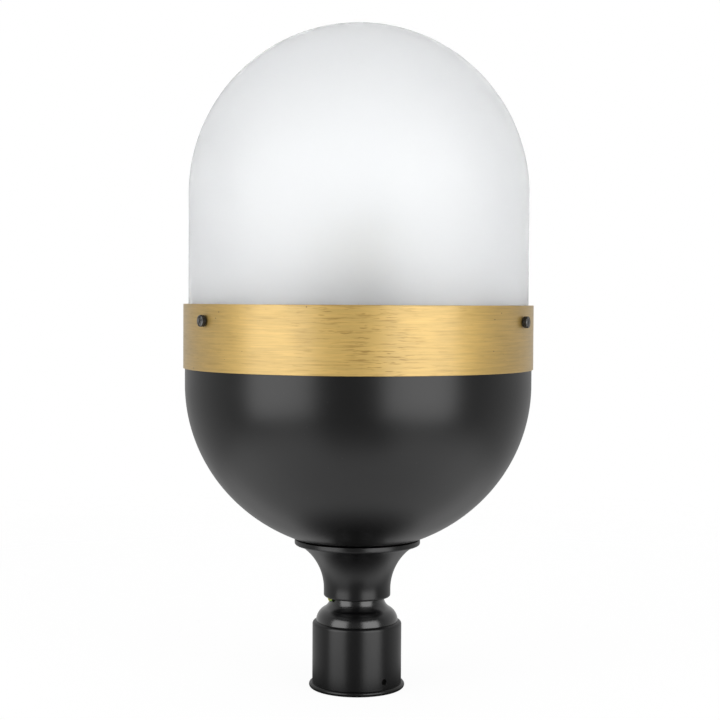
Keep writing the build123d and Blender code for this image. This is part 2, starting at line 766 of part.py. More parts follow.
def bulb_filament():
    """Stem with upright filament rods between two small hubs."""
    low = bulb_bottom + FILAMENT_STEM_HEIGHT
    high = low + FILAMENT_LENGTH
    mount = bar(FILAMENT_STEM_RADIUS, bulb_bottom, low)
    mount += bar(FILAMENT_HUB_RADIUS, low - FILAMENT_HUB_THICKNESS, low)
    mount += bar(FILAMENT_HUB_RADIUS, high, high + FILAMENT_HUB_THICKNESS)
    for turn in range(FILAMENT_COUNT):
        rod = bar(FILAMENT_RADIUS, low, high)
        mount += Rot(0, 0, turn * 360 / FILAMENT_COUNT) * Pos(FILAMENT_RING, 0, 0) * rod
    return mount


def socket_leads(side):
    """One lead from each socket through its nipple and cup and down the rod; side is 1 or -1."""
    level = rod_top + LEAD_RISE
    spread = math.radians(90 / SOCKET_COUNT)
    across = side * LEAD_SPACING
    inner = LEAD_RING * math.cos(spread)
    inner_across = side * LEAD_RING * math.sin(spread)
    points = [
        (SOCKET_RING, across, socket_floor - LEAD_END_GAP),
        (SOCKET_RING, across, level),
        (inner, inner_across, level),
        (inner, inner_across, rod_bottom - BUSHING_THICKNESS - LEAD_TAIL),
    ]
    lead = wire_along(points, [LEAD_BEND, LEAD_BEND], LEAD_RADIUS)
    return Compound([Rot(0, 0, angle) * lead for angle in socket_angles])


def earth_terminal():
    """Ring terminal on the cap's web with a crimp barrel for the earth lead."""
    plate = bar(TERMINAL_RADIUS, neck_top, neck_top + TERMINAL_THICKNESS)
    barrel = bar(BARREL_RADIUS, EARTH_SCREW_HEAD_RADIUS + BARREL_HEAD_GAP, TERMINAL_RADIUS + BARREL_LENGTH)
    hole = bar(EARTH_SCREW_RADIUS + EARTH_HOLE_CLEARANCE, neck_top - CAP_WEB, neck_top + CAP_WEB)
    terminal = plate + Pos(0, 0, barrel_height) * Rot(0, 90, 0) * barrel - hole
    return earth_place(EARTH_RING, EARTH_SPACING, 0) * terminal


def earth_screw():
    """Screw that clamps the ring terminal to the web."""
    seat = neck_top + TERMINAL_THICKNESS
    head_top = seat + EARTH_SCREW_HEAD_HEIGHT
    screw = lathe(
        (0, seat - EARTH_SCREW_LENGTH, 0),
        (EARTH_SCREW_RADIUS, seat - EARTH_SCREW_LENGTH, 0),
        (EARTH_SCREW_RADIUS, seat, 0),
        (EARTH_SCREW_HEAD_RADIUS, seat, 0),
        (EARTH_SCREW_HEAD_RADIUS, head_top, EARTH_SCREW_ROUNDING),
        (0, head_top, 0),
    )
    return earth_place(EARTH_RING, EARTH_SPACING, 0) * screw


def earth_lead():
    """Earth lead from its terminal, out of the bell's mouth in a small loop and back into the neck."""
    barrel_end = EARTH_RING + TERMINAL_RADIUS + BARREL_LENGTH
    dip = bell_lip - EARTH_LEAD_DIP
    top = neck_top + EARTH_LEAD_TOP
    points = [
        (barrel_end, EARTH_SPACING, barrel_height),
        (EARTH_LEAD_OUT, EARTH_SPACING, barrel_height),
        (EARTH_LEAD_OUT, EARTH_SPACING, dip),
        (EARTH_LEAD_OUT, -EARTH_SPACING, dip),
        (EARTH_LEAD_OUT, -EARTH_SPACING, top),
        (EARTH_LEAD_IN, -EARTH_SPACING, top),
        (EARTH_LEAD_IN, -EARTH_SPACING, web_bottom - EARTH_LEAD_TAIL),
    ]
    drop_curve = EARTH_CURVE_SHARE * (EARTH_LEAD_OUT - barrel_end)
    loop_curve = EARTH_CURVE_SHARE * EARTH_SPACING
    return_curve = EARTH_CURVE_SHARE * (EARTH_LEAD_OUT - EARTH_LEAD_IN) / 2
    curves = [drop_curve, loop_curve, loop_curve, return_curve, return_curve]
    return Rot(0, 0, EARTH_ANGLE) * wire_along(points, curves, EARTH_LEAD_RADIUS)


def numbered(name, angles, make):
    """One node for each angle, named with its number."""
    return {f"{name}_{number}": make(angle) for number, angle in enumerate(angles, 1)}


def at_each_socket(name, piece):
    """One node of the piece for each socket."""
    return numbered(name, socket_angles, lambda angle: at_socket(angle, piece))


def all_pieces():
    """Every piece of the light by node name."""
    pieces = {
        "post_sleeve": post_sleeve(),
        "sleeve_cap": sleeve_cap(),
        "neck_bell": neck_bell(),
        "saucer": saucer(),
        "bowl": bowl(),
        "gold_band": gold_band(),
        "band_studs": band_studs(),
        "band_nuts": band_nuts(),
        "screw_bosses": screw_bosses(),
        "glass_gasket": glass_gasket(),
        "glass_dome": glass_dome(),
        "threaded_rod": threaded_rod(),
        "rod_bushing": rod_bushing(),
        "lower_nut": hex_nut(NUT_FLATS, nut_bore, lower_nut_bottom, NUT_HEIGHT),
        "lower_washer": lower_washer(),
        "neck_spacer": neck_spacer(),
        "bowl_gasket": bowl_gasket(),
        "bowl_washer": bowl_washer(),
        "bowl_nut": hex_nut(NUT_FLATS, nut_bore, bowl_nut_bottom, NUT_HEIGHT),
        "stem_tube": stem_tube(),
        "rod_top_nut": hex_nut(NUT_FLATS, nut_bore, cup_floor, TOP_NUT_HEIGHT),
        "cluster_cup": cluster_cup(),
        "cluster_plate": cluster_plate(),
        "plate_screws": plate_screws(),
        "socket_nipples": socket_nipples(),
        "nipple_nuts": nipple_nuts(),
        "socket_contacts": socket_contacts(),
        "leads_black": socket_leads(1),
        "leads_white": socket_leads(-1),
        "earth_terminal": earth_terminal(),
        "earth_screw": earth_screw(),
        "earth_lead": earth_lead(),
    }
    pieces |= numbered("grub_screw", grub_angles, grub_screw)
    pieces |= numbered("glass_screw", screw_angles, glass_screw)
    pieces |= numbered("glass_screw_tip", screw_angles, glass_screw_tip)
    pieces |= at_each_socket("socket_body", socket_body())
    pieces |= at_each_socket("socket_shell", socket_shell())
    pieces |= at_each_socket("candle_sleeve", candle_sleeve())
    pieces |= at_each_socket("bulb_base", bulb_base())
    pieces |= at_each_socket("bulb_glass", bulb_glass())
    pieces |= at_each_socket("bulb_filament", bulb_filament())
    return pieces


os.makedirs("parts", exist_ok=True)
for node, piece in all_pieces().items():
    export_step(piece, f"parts/{node}.step")
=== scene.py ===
"""Outdoor post light: its visible pieces, finishes and studio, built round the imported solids.

The file is laid out as an add-on and run as a script. Lengths are in metres in the frame of
the solids: the origin is the centre of the post sleeve's mouth, +Z is up, -Y faces the viewer.
"""

import json
import math

import bpy
import numpy as np
from mathutils import Matrix, Vector


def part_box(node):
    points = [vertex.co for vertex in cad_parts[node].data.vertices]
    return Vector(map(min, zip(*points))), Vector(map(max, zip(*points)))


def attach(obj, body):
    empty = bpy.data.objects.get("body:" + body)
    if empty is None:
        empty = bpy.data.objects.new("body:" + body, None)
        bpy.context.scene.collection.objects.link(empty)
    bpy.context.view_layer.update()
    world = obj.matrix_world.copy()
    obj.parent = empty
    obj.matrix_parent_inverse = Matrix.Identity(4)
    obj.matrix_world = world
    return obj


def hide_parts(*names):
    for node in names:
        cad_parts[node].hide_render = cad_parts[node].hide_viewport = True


bl_info = {
    "name": "Outdoor post light",
    "version": (1, 0, 0),
    "blender": (4, 5, 0),
    "location": "3D View > Sidebar > Post light",
    "description": "Builds the visible pieces and finishes of a post light round its solids",
    "category": "Object",
}

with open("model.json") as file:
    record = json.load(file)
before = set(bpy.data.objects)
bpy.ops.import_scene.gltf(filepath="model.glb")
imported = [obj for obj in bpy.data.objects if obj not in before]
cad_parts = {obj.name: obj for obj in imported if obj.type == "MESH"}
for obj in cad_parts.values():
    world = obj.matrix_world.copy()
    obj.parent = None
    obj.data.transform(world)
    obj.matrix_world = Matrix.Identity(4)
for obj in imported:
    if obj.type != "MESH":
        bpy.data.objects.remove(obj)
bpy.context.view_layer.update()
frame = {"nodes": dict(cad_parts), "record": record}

TURN = 2 * math.pi
PHOTO_WIDTH = 720
SENSOR_WIDTH = 36.0
BIG_TURNS = 256
SMALL_TURNS = 96
TINY_TURNS = 48
ARC_STEPS = 9
SHARP_ANGLE = math.radians(32)
EDGE_ROUNDING = 0.0003
CUT_OVERRUN = 0.002
SLOT_OVERRUN = 0.001
NUT_TURNS = 144
NUT_ROWS = 25
NUT_FACE_SHARE = 0.47
NUT_CONE = math.radians(30)
FLOOR_RADIUS = 1.6
FLOOR_TOP = -0.0005
FLOOR_BOTTOM = -0.004
LAMP_DISTANCE = 3.0
LAMPS = {
    "soft_box_left": {"turn": -50.7, "size": (2.5, 2.97), "height": 0.775, "gain": 1.0},
    "soft_box_right": {"turn": 40.3, "size": (2.65, 3.05), "height": 0.735, "gain": 1.07},
}
WHITE = (1.0, 1.0, 1.0)


def thirds(degrees):
    """Three angles a third of a turn apart, from a first one in degrees."""
    return [math.radians(degrees + 120 * turn) for turn in range(3)]


GLASS_SCREW_ANGLES = thirds(-145.8)
GRUB_ANGLES = thirds(-52.7)
SOCKET_ANGLES = thirds(-70)


def low(node):
    """Lowest corner of a solid at rest."""
    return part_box(node)[0]


def high(node):
    """Highest corner of a solid at rest."""
    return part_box(node)[1]


def middle(node):
    """Middle of a solid at rest."""
    return (low(node) + high(node)) / 2


def length(name, description, default):
    """Property for a length in metres."""
    return bpy.props.FloatProperty(
        name=name, description=description, default=default, min=0.0, unit="LENGTH", precision=5
    )


def colour(name, description, default):
    """Property for a linear colour."""
    return bpy.props.FloatVectorProperty(
        name=name, description=description, default=default, size=3, min=0.0, max=1.0, subtype="COLOR"
    )


def share(name, description, default):
    """Property for a share from 0 to 1."""
    return bpy.props.FloatProperty(
        name=name, description=description, default=default, min=0.0, max=1.0, subtype="FACTOR"
    )


def number(name, description, default):
    """Property for a plain number."""
    return bpy.props.FloatProperty(name=name, description=description, default=default)


def angle(name, description, degrees):
    """Property for an angle."""
    return bpy.props.FloatProperty(
        name=name, description=description, default=math.radians(degrees), subtype="ANGLE"
    )


class PostLightNeckSizes(bpy.types.PropertyGroup):
    """Sizes of the sleeve, its cap, the bell and the saucer."""

    sleeve_bore: length("Sleeve bore", "Inner radius of the sleeve", 0.0385)
    sleeve_outer: length("Sleeve radius", "Outer radius of the sleeve", 0.0414)
    sleeve_top: length("Sleeve height", "Height of the sleeve's top", high("post_sleeve").z)
    sleeve_shoulder: length("Shoulder rounding", "Rounding of the sleeve's shoulder", 0.003)
    ledge_bore: length("Ledge bore", "Inner radius of the ledge that carries the cap", 0.035)
    ledge_height: length("Ledge height", "Height of that ledge", 0.0078)
    bead_outer: length("Bead radius", "Outer radius of the rolled bead", high("post_sleeve").x)
    bead_height: length("Bead height", "Height of the rolled bead", 0.0046)
    bead_rounding: length("Bead rounding", "Rounding of the rolled bead", 0.0022)
    grub_height: length("Grub height", "Height of the grub screws", middle("grub_screw_1").z)
    grub_radius: length("Grub radius", "Radius of a grub screw", 0.00275)
    grub_hole: length("Grub hole", "Radius of a grub screw's hole", 0.00281)
    grub_recess: length("Grub recess", "How far a grub screw lies below the sleeve's surface", 0.001)
    grub_socket: length("Grub socket", "Half width across flats of a grub screw's socket", 0.0017)
    grub_socket_depth: length("Grub socket depth", "Depth of a grub screw's socket", 0.0015)
    grub_shy: length("Grub clearance", "How far a grub screw stays out of the bore", 0.00005)
    grub_point: length("Grub socket point", "Depth of the drill point in a grub screw's socket", 0.0002)
    cap_radius: length("Cap radius", "Radius of the cap's dome at its foot", 0.038)
    cap_crown: length("Crown curve", "Radius of the dome's curve", 0.0138)
    cap_hollow: length("Hollow curve", "Radius of the curve into the neck", 0.0119)
    cap_wall: length("Cap wall", "Wall of the cap", 0.003)
    cap_web: length("Cap web", "Thickness of the web on the neck", 0.004)
    cap_spigot: length("Spigot length", "Length of the spigot in the sleeve", 0.0074)
    cap_fit: length("Cap fit", "Room between the spigot and the ledge", 0.0001)
    neck_radius: length("Neck radius", "Radius of the cap's neck", 0.025)
    neck_top: length("Neck top", "Height of the neck's top", high("sleeve_cap").z)
    neck_rounding: length("Neck rounding", "Rounding of the neck's top edge", 0.001)
    rod_hole: length("Rod hole", "Radius of the holes for the rod", 0.0052)
    bell_lip: length("Bell lip", "Height of the bell's lip", low("neck_bell").z)
    bell_top: length("Bell top", "Height of the bell's top", high("neck_bell").z)
    bell_straight: length("Bell straight", "Height of the bell's straight lip", 0.007)
    bell_lip_radius: length("Bell lip radius", "Outer radius of the lip", 0.031)
    bell_top_radius: length("Bell top radius", "Outer radius of the bell's top", high("neck_bell").x)
    bell_wall: length("Bell wall", "Wall of the bell", 0.0022)
    bell_web: length("Bell web", "Thickness of the bell's top", 0.002)
    bell_rounding: length("Bell rounding", "Rounding of the lip's outer edge", 0.002)
    saucer_radius: length("Saucer radius", "Outer radius of the saucer", high("saucer").x)
    saucer_top: length("Saucer top", "Height of the saucer's rim", high("saucer").z)
    saucer_floor: length("Saucer floor", "Thickness of the saucer's floor", 0.0024)
    saucer_rim: length("Saucer rim", "Width of the saucer's rim", 0.0018)
    saucer_under: length("Saucer under rounding", "Rounding of the rim's lower edge", 0.0016)
    saucer_edge: length("Saucer edge rounding", "Rounding of the rim's upper edge", 0.0008)


class PostLightBodySizes(bpy.types.PropertyGroup):
    """Sizes of the bowl, the band, the glass and its screws."""

    bowl_radius: length("Bowl radius", "Outer radius of the bowl", high("bowl").x)
    bowl_bottom: length("Bowl bottom", "Height of the bowl's flat", low("bowl").z)
    bowl_rim: length("Bowl rim", "Height of the bowl's rim", high("bowl").z)
    bowl_straight: length("Bowl straight", "Height of the bowl's straight wall", 0.032)
    bowl_depth: length("Bowl depth", "Half height of the bowl's round side", 0.153)
    bowl_wall: length("Bowl wall", "Wall of the bowl", 0.0012)
    bowl_lip: length("Bowl lip", "Width of the lip turned in under the glass", 0.011)
    bowl_bend: length("Bowl lip bend", "Bend of that lip", 0.003)
    band_outer: length("Band radius", "Outer radius of the band", high("gold_band").x)
    band_bottom: length("Band bottom", "Height of the band's lower edge", low("gold_band").z)
    band_top: length("Band top", "Height of the band's upper edge", high("gold_band").z)
    band_wall: length("Band wall", "Wall of the band", 0.0013)
    band_rounding: length("Band rounding", "Rounding of the band's edges", 0.0003)
    band_wave: length("Band wave", "Waviness left in the rolled band", 0.00006)
    glass_radius: length("Glass radius", "Outer radius of the glass", high("glass_dome").x)
    glass_bottom: length("Glass bottom", "Height of the glass's foot", low("glass_dome").z)
    glass_top: length("Glass top", "Height of the dome's top", high("glass_dome").z)
    glass_wall: length("Glass wall", "Wall of the glass", 0.0032)
    glass_rounding: length("Glass rounding", "Rounding of the glass's foot", 0.0009)
    screw_height: length("Screw height", "Height of the glass screws", middle("glass_screw_1").z)
    screw_start: length("Screw start", "Distance of a glass screw's shank from the axis", 0.1573)
    screw_seat: length("Screw seat", "Distance of a glass screw's head from the axis", 0.162)
    screw_end: length("Screw end", "Distance of a head's face from the axis", 0.166)
    screw_radius: length("Screw radius", "Radius of a glass screw's shank", 0.00195)
    screw_head: length("Screw head", "Radius of a glass screw's head", 0.0052)
    screw_rounding: length("Screw head rounding", "Rounding of the head's edge", 0.0008)
    screw_tip: length("Screw tip rounding", "Rounding of the shank's end", 0.0002)
    screw_pitch: length("Screw pitch", "Pitch of a glass screw's thread", 0.0007)
    screw_thread: length("Screw thread", "Depth of a glass screw's thread", 0.00035)
    # Where the heads' grey starts; that grey is partly wear, partly a painted highlight.
    wear_and_sheen_start: length("Worn face", "Depth from a head's face to where its wear starts", 0.0007)
    wear_and_sheen_full: length("Worn through", "Depth from a head's face to where its wear is full", 0.0002)
    slot_width: length("Slot width", "Width of the driver slot", 0.0012)
    slot_depth: length("Slot depth", "Depth of the driver slot", 0.0014)
    slot_turn: angle("Slot turn", "Turn of the driver slot", -25.0)
    screw_hole: length("Screw hole", "Radius of the band's screw holes", 0.0023)


class PostLightLampSizes(bpy.types.PropertyGroup):
    """Sizes of the rod, the lamp cluster and the bulbs."""

    rod_radius: length("Rod radius", "Radius of the threaded rod", 0.0049)
    rod_bore: length("Rod bore", "Bore of the threaded rod", 0.0033)
    rod_bottom: length("Rod bottom", "Height of the rod's lower end", low("threaded_rod").z)
    rod_top: length("Rod top", "Height of the rod's upper end", high("threaded_rod").z)
    rod_pitch: length("Rod pitch", "Pitch of the rod's thread", 0.00141)
    rod_thread: length("Rod thread", "Depth of the rod's thread", 0.0004)
    rod_chamfer: length("Rod chamfer", "Chamfer of the rod's ends", 0.0004)
    nut_flats: length("Nut flats", "Width of the rod's nuts across flats", 0.017)
    nut_bore: length("Nut bore", "Bore of the rod's nuts", 0.00495)
    socket_ring: length("Socket ring", "Distance of the sockets from the axis", 0.028)
    shell_outer: length("Shell radius", "Outer radius of a screw shell", 0.0068)
    shell_inner: length("Shell bore", "Inner radius of a screw shell", 0.0063)
    shell_thread: length("Shell thread", "Depth of a screw shell's thread", 0.00025)
    lamp_pitch: length("Lamp pitch", "Pitch of a lamp's screw thread", 0.00255)
    candle_radius: length("Candle radius", "Outer radius of a candle sleeve", 0.0112)
    candle_wall: length("Candle wall", "Wall of a candle sleeve", 0.001)
    base_radius: length("Base radius", "Radius of a bulb's screw base", 0.00595)
    base_thread: length("Base thread", "Depth of a base's thread", 0.0006)
    base_slope: length("Base slope", "Height of the slope from the tip to the base's wall", 0.002)
    base_plain: length("Base plain", "Height from the tip's shoulder to the thread", 0.0022)
    base_runout: length("Base runout", "Plain wall between the thread and the collar", 0.001)
    base_rounding: length("Base rounding", "Rounding of a base's edges", 0.0004)
    collar_radius: length("Collar radius", "Radius of a bulb's collar", 0.0074)
    collar_height: length("Collar height", "Height of a bulb's collar", 0.0024)
    tip_radius: length("Tip radius", "Radius of a bulb's contact tip", 0.0025)
    tip_height: length("Tip height", "Height of a bulb's contact tip", 0.0017)
    tip_rounding: length("Tip rounding", "Rounding of a bulb's contact tip", 0.0012)
    bulb_radius: length("Bulb radius", "Widest radius of a bulb", 0.0175)
    bulb_neck: length("Bulb neck", "Radius of a bulb's neck", 0.0066)
    bulb_point: length("Bulb point", "Radius of a bulb's blunt point", 0.0036)
    bulb_wall: length("Bulb wall", "Wall of a bulb's glass", 0.0008)
    neck_height: length("Bulb neck height", "Height of a bulb's straight neck", 0.004)
    neck_curve: length("Bulb neck curve", "Curve from the neck to the flare", 0.006)
    belly_low: length("Belly start", "Height at which the flare meets the belly", 0.018)
    belly_curve: length("Belly curve", "Curve from the flare to the belly", 0.014)
    belly_high: length("Belly end", "Height at which the belly meets the taper", 0.032)
    taper_curve: length("Taper curve", "Curve from the belly to the taper", 0.04)
    point_curve: length("Point curve", "Curve from the taper to the point", 0.003)


class PostLightFinishes(bpy.types.PropertyGroup):
    """Colours and gloss of the finishes."""

    black: colour("Black coat", "Satin black powder coat", (0.0026, 0.0026, 0.0028))
    black_roughness: share("Black roughness", "Roughness of the black coat", 0.3)
    cap_roughness: share("Cap roughness", "Roughness of the glossy coat on the cap", 0.26)
    dust: colour("Dust", "Specks of dust on the black coat", (0.06, 0.06, 0.06))
    cap_dust: colour("Cap dust", "Specks of dust on the cap", (0.05, 0.05, 0.05))
    gold: colour("Gold", "Brushed gold", (0.665, 0.458, 0.144))
    gold_dark: colour("Dark gold", "Tarnish in the gold's brush strokes", (0.2, 0.115, 0.03))
    gold_roughness: share("Gold roughness", "Roughness of the brushed gold", 0.58)
    frost: colour("Frosted glass", "Tint of the frosted glass", (0.886, 0.893, 0.899))
    frost_roughness: share("Frost roughness", "Roughness of the frosted glass", 0.55)
    frost_clear: share("Frost clarity", "Share of light that goes through the frosting", 0.9)
    clear: colour("Bulb glass", "Tint of the bulbs' glass", (0.97, 0.98, 0.98))
    steel: colour("Zinc", "Zinc plated steel", (0.58, 0.58, 0.57))
    brass: colour("Brass", "Pressed brass", (0.72, 0.52, 0.22))
    screw: colour("Black screw", "Blackened steel", (0.014, 0.0135, 0.013))
    screw_worn: colour("Worn screw", "Worn edges of the blackened steel", (0.06, 0.057, 0.052))
    # Partly wear, partly a painted highlight on the screw heads' faces.
    screw_bare: colour("Bare screw", "Grey of the heads' worn faces", (0.21, 0.207, 0.2))
    seal: colour("Seal", "Grey silicone", (0.32, 0.32, 0.315))
    nylon: colour("Nylon", "White nylon", (0.82, 0.82, 0.78))
    socket: colour("Socket", "Moulded black plastic", (0.02, 0.02, 0.02))
    candle: colour("Candle", "Black candle sleeve", (0.022, 0.022, 0.023))
    filament: colour("Filament", "Coated filament", (0.9, 0.7, 0.3))
    green: colour("Green", "Earth screw", (0.04, 0.25, 0.07))
    lead_black: colour("Black lead", "Insulation of the live leads", (0.02, 0.02, 0.02))
    lead_white: colour("White lead", "Insulation of the neutral leads", (0.8, 0.8, 0.77))
    lead_earth: colour("Earth lead", "Yellow of the earth lead", (0.42, 0.4, 0.1))
    lead_stripe: colour("Earth stripe", "Green of the earth lead", (0.12, 0.26, 0.05))


class PostLightStage(bpy.types.PropertyGroup):
    """Camera, lamps and backdrop."""

    focus_pixels: number("Focal length", "Focal length in pixels of the photograph", 1513.2)
    distance: length("Distance", "Distance of the camera from the axis", 1.4)
    eye_height: length("Eye height", "Height of the camera", 0.358)
    aim_height: length("Aim height", "Height at the middle of the picture", 0.30423)
    aside: length("Aside", "Camera's place to the right of the axis", 0.0016)
    roll: angle("Roll", "Lean of the camera", 0.3)
    lamp_strength: number("Lamp strength", "Radiance of the two soft boxes", 2.5)
    ambient: number("Ambient", "Even light of the surroundings", 0.55)
    room_front: share("Room in front", "Brightness in gloss of the room behind the camera", 0.19)
    room_back: share("Room behind", "Brightness in gloss of the room behind the light", 0.5)
    room_below: number("Room below", "Brightness in gloss of the table below the light", 1.25)


# Node values


def feed(tree, socket, item):
    """Links a node value to a socket, or sets the socket's own value."""
    if isinstance(item, Value):
        tree.links.new(item.socket, socket)
    elif socket.type == "RGBA" and len(item) == 3:
        socket.default_value = (*item, 1.0)
    else:
        socket.default_value = item


class Value:
    """One output socket. Arithmetic on it adds Math nodes."""

    def __init__(self, tree, socket):
        self.tree = tree
        self.socket = socket

    def math(self, operation, *items):
        """Math node of that operation on the items."""
        node = self.tree.nodes.new("ShaderNodeMath")
        node.operation = operation
        for socket, item in zip(node.inputs, items):
            feed(self.tree, socket, item)
        return Value(self.tree, node.outputs[0])

    def __add__(self, other):
        return self.math("ADD", self, other)

    def __radd__(self, other):
        return self.math("ADD", other, self)

    def __sub__(self, other):
        return self.math("SUBTRACT", self, other)

    def __rsub__(self, other):
        return self.math("SUBTRACT", other, self)

    def __mul__(self, other):
        return self.math("MULTIPLY", self, other)

    def __rmul__(self, other):
        return self.math("MULTIPLY", other, self)

    def __abs__(self):
        return self.math("ABSOLUTE", self)

    def __gt__(self, other):
        return self.math("GREATER_THAN", self, other)

    def __lt__(self, other):
        return self.math("LESS_THAN", self, other)

    def highest(self, other):
        """The larger of two values."""
        return self.math("MAXIMUM", self, other)


class Nodes:
    """Node tree of a material or of the world, with one method that adds any node."""

    def __init__(self, tree):
        self.tree = tree
        tree.nodes.clear()

    def node(self, kind, settings=None, sockets=None, output=0):
        """Adds a node, makes its settings, fills its sockets and gives one of its outputs."""
        node = self.tree.nodes.new(kind)
        for key, setting in (settings or {}).items():
            setattr(node, key, setting)
        for key, item in (sockets or {}).items():
            feed(self.tree, node.inputs[key], item)
        return None if output is None else Value(self.tree, node.outputs[output])

    def place(self, scale=(1.0, 1.0, 1.0), shift=(0.0, 0.0, 0.0)):
        """Object coordinates, scaled and shifted along each axis."""
        plain = self.node("ShaderNodeTexCoord", output="Object")
        return self.node("ShaderNodeMapping", {}, {"Vector": plain, "Scale": scale, "Location": shift})

    def part(self, vector, axis):
        """One part of a vector: X, Y or Z."""
        return self.node("ShaderNodeSeparateXYZ", {}, {"Vector": vector}, axis)

    def reach(self, vector):
        """Length of a vector."""
        return self.node("ShaderNodeVectorMath", {"operation": "LENGTH"}, {0: vector}, "Value")

    def ray(self, kind):
        """1 on rays of that kind, such as Camera or Glossy, and 0 on others."""
        return self.node("ShaderNodeLightPath", output=f"Is {kind} Ray")

    def noise(self, place, scale=1.0, detail=2.0, rough=0.5):
        """Soft noise from 0 to 1."""
        sockets = {"Vector": place, "Scale": scale, "Detail": detail, "Roughness": rough}
        return self.node("ShaderNodeTexNoise", {}, sockets)

    def cells(self, place, scale):
        """Distance to the nearest of scattered points."""
        return self.node("ShaderNodeTexVoronoi", {}, {"Vector": place, "Scale": scale}, "Distance")

    def ease(self, value, start, end, first=0.0, last=1.0):
        """Smooth step of a value from start to end."""
        sockets = {"Value": value, "From Min": start, "From Max": end, "To Min": first, "To Max": last}
        return self.node("ShaderNodeMapRange", {"interpolation_type": "SMOOTHSTEP"}, sockets)

    def blend(self, factor, first, second):
        """Mix of two colours."""
        settings = {"data_type": "RGBA", "clamp_factor": True}
        return self.node("ShaderNodeMix", settings, {0: factor, 6: first, 7: second}, 2)

    def bump(self, height, strength, distance):
        """Bumped normal from a height."""
        sockets = {"Height": height, "Strength": strength, "Distance": distance}
        return self.node("ShaderNodeBump", {}, sockets)


class Finish(Nodes):
    """Material with one Principled shader; constants go straight to the shader's sockets."""

    def __init__(self, name):
        self.material = bpy.data.materials.new(name)
        self.material.use_nodes = True
        super().__init__(self.material.node_tree)

    def done(self, sockets):
        """Adds the shader and its output, and gives the material."""
        shader = self.node("ShaderNodeBsdfPrincipled", {}, sockets)
        self.node("ShaderNodeOutputMaterial", {}, {"Surface": shader}, output=None)
        return self.material


# Finishes


def shade(tint, level):
    """Colour made darker or lighter by a plain factor."""
    return tuple(min(1.0, part * level) for part in tint)


def satin_black(looks):
    """Powder coat: fine orange peel, a cloudy gloss and a few specks of dust."""
    f = Finish("satin_black_coat")
    peel = f.noise(f.place(), 850.0, 2.0)
    cloud = f.noise(f.place(), 19.0, 3.0)
    dust = f.ease(f.cells(f.place(), 120.0), 0.06, 0.03)
    black = tuple(looks.black)
    tone = f.blend(cloud, shade(black, 0.75), shade(black, 1.25))
    return f.done({
        "Base Color": f.blend(dust * 0.35, tone, tuple(looks.dust)),
        "Roughness": looks.black_roughness - 0.05 + 0.09 * cloud + 0.02 * peel,
        "Specular IOR Level": 0.5,
        "Normal": f.bump(peel, 0.04, 0.0001),
    })


def gloss_black(looks):
    """Glossy black lacquer with a slight ripple and a few specks of dust."""
    f = Finish("gloss_black_lacquer")
    ripple = f.noise(f.place(), 160.0, 2.0)
    dust = f.ease(f.cells(f.place(), 150.0), 0.06, 0.03)
    black = tuple(looks.black)
    return f.done({
        "Base Color": f.blend(dust * 0.3, shade(black, 0.8), tuple(looks.cap_dust)),
        "Roughness": looks.cap_roughness - 0.03 + 0.06 * ripple,
        "Specular IOR Level": 0.4,
        "Coat Weight": 1.0 - 0.4 * dust,
        "Coat Roughness": 0.22,
        "Normal": f.bump(ripple, 0.05, 0.0002),
    })


def brushed_gold(looks):
    """Lacquered brushed gold: strokes round the band, a soft mottle, pits, and streaks of patina
    that are strongest in the middle of the band's front and back, where they also paint shade."""
    f = Finish("brushed_gold")
    fine = f.noise(f.place((34.0, 34.0, 1500.0)), 1.0, 3.0, 0.6)
    broad = f.noise(f.place((24.0, 24.0, 620.0), (3.0, 1.0, 7.0)), 1.0, 3.0, 0.6)
    long_streaks = f.noise(f.place((34.0, 34.0, 520.0), (9.0, 4.0, 2.0)), 1.0, 3.0, 0.6)
    short_streaks = f.noise(f.place((72.0, 72.0, 680.0), (2.0, 8.0, 5.0)), 1.0, 2.0, 0.5)
    mottle = f.noise(f.place((22.0, 22.0, 40.0), (1.7, 5.0, 0.4)), 1.0, 3.0, 0.55)
    # Painted shade as well as patina: this mask gathers the dark streaks at the middle of the band's front
    # and back.
    aside = abs(f.part(f.place(), "X"))
    front_patina_and_painted_shade = f.ease(aside, 0.075, 0.005, 0.25, 1.0) * f.ease(mottle, 0.3, 0.62, 0.3, 1.0)
    pits = f.ease(f.cells(f.place((1.0, 1.0, 1.3)), 95.0), 0.07, 0.045)
    pits = pits * (f.noise(f.place(), 60.0) > 0.57)
    patina = f.ease(long_streaks, 0.5, 0.7).highest(f.ease(short_streaks, 0.58, 0.72)) * front_patina_and_painted_shade
    gold = tuple(looks.gold)
    tone = f.blend(f.ease(broad, 0.3, 0.75), shade(gold, 1.05), shade(gold, 0.88))
    tone = f.blend(f.ease(mottle, 0.4, 0.7) * 0.35, tone, shade(gold, 0.8))
    tone = f.blend(f.ease(fine, 0.45, 0.75) * 0.24, tone, shade(gold, 0.66))
    tone = f.blend(patina * 0.46, tone, tuple(looks.gold_dark))
    tone = f.blend(pits, tone, shade(looks.gold_dark, 0.5))
    grooves = fine * 0.6 + broad * 0.4 - pits
    return f.done({
        "Base Color": tone,
        "Metallic": 1.0,
        "Roughness": looks.gold_roughness - 0.07 + 0.14 * fine + 0.12 * patina,
        "Coat Weight": 1.0 - 0.5 * patina,
        "Coat IOR": 1.53,
        "Coat Roughness": 0.3,
        "Normal": f.bump(grooves, 0.3, 0.0003),
    })


def frosted_glass(looks):
    """Etched glass: a fine frosted grain that lets most of the light through, blurred."""
    f = Finish("frosted_glass")
    grain = f.noise(f.place(), 1500.0, 2.0)
    cloud = f.noise(f.place(), 9.0, 2.0)
    frost = tuple(looks.frost)
    return f.done({
        "Base Color": f.blend(cloud, shade(frost, 0.985), frost),
        "Roughness": looks.frost_roughness - 0.03 + 0.06 * cloud,
        "IOR": 1.45,
        "Transmission Weight": looks.frost_clear,
        "Normal": f.bump(grain, 0.05, 0.0001),
    })


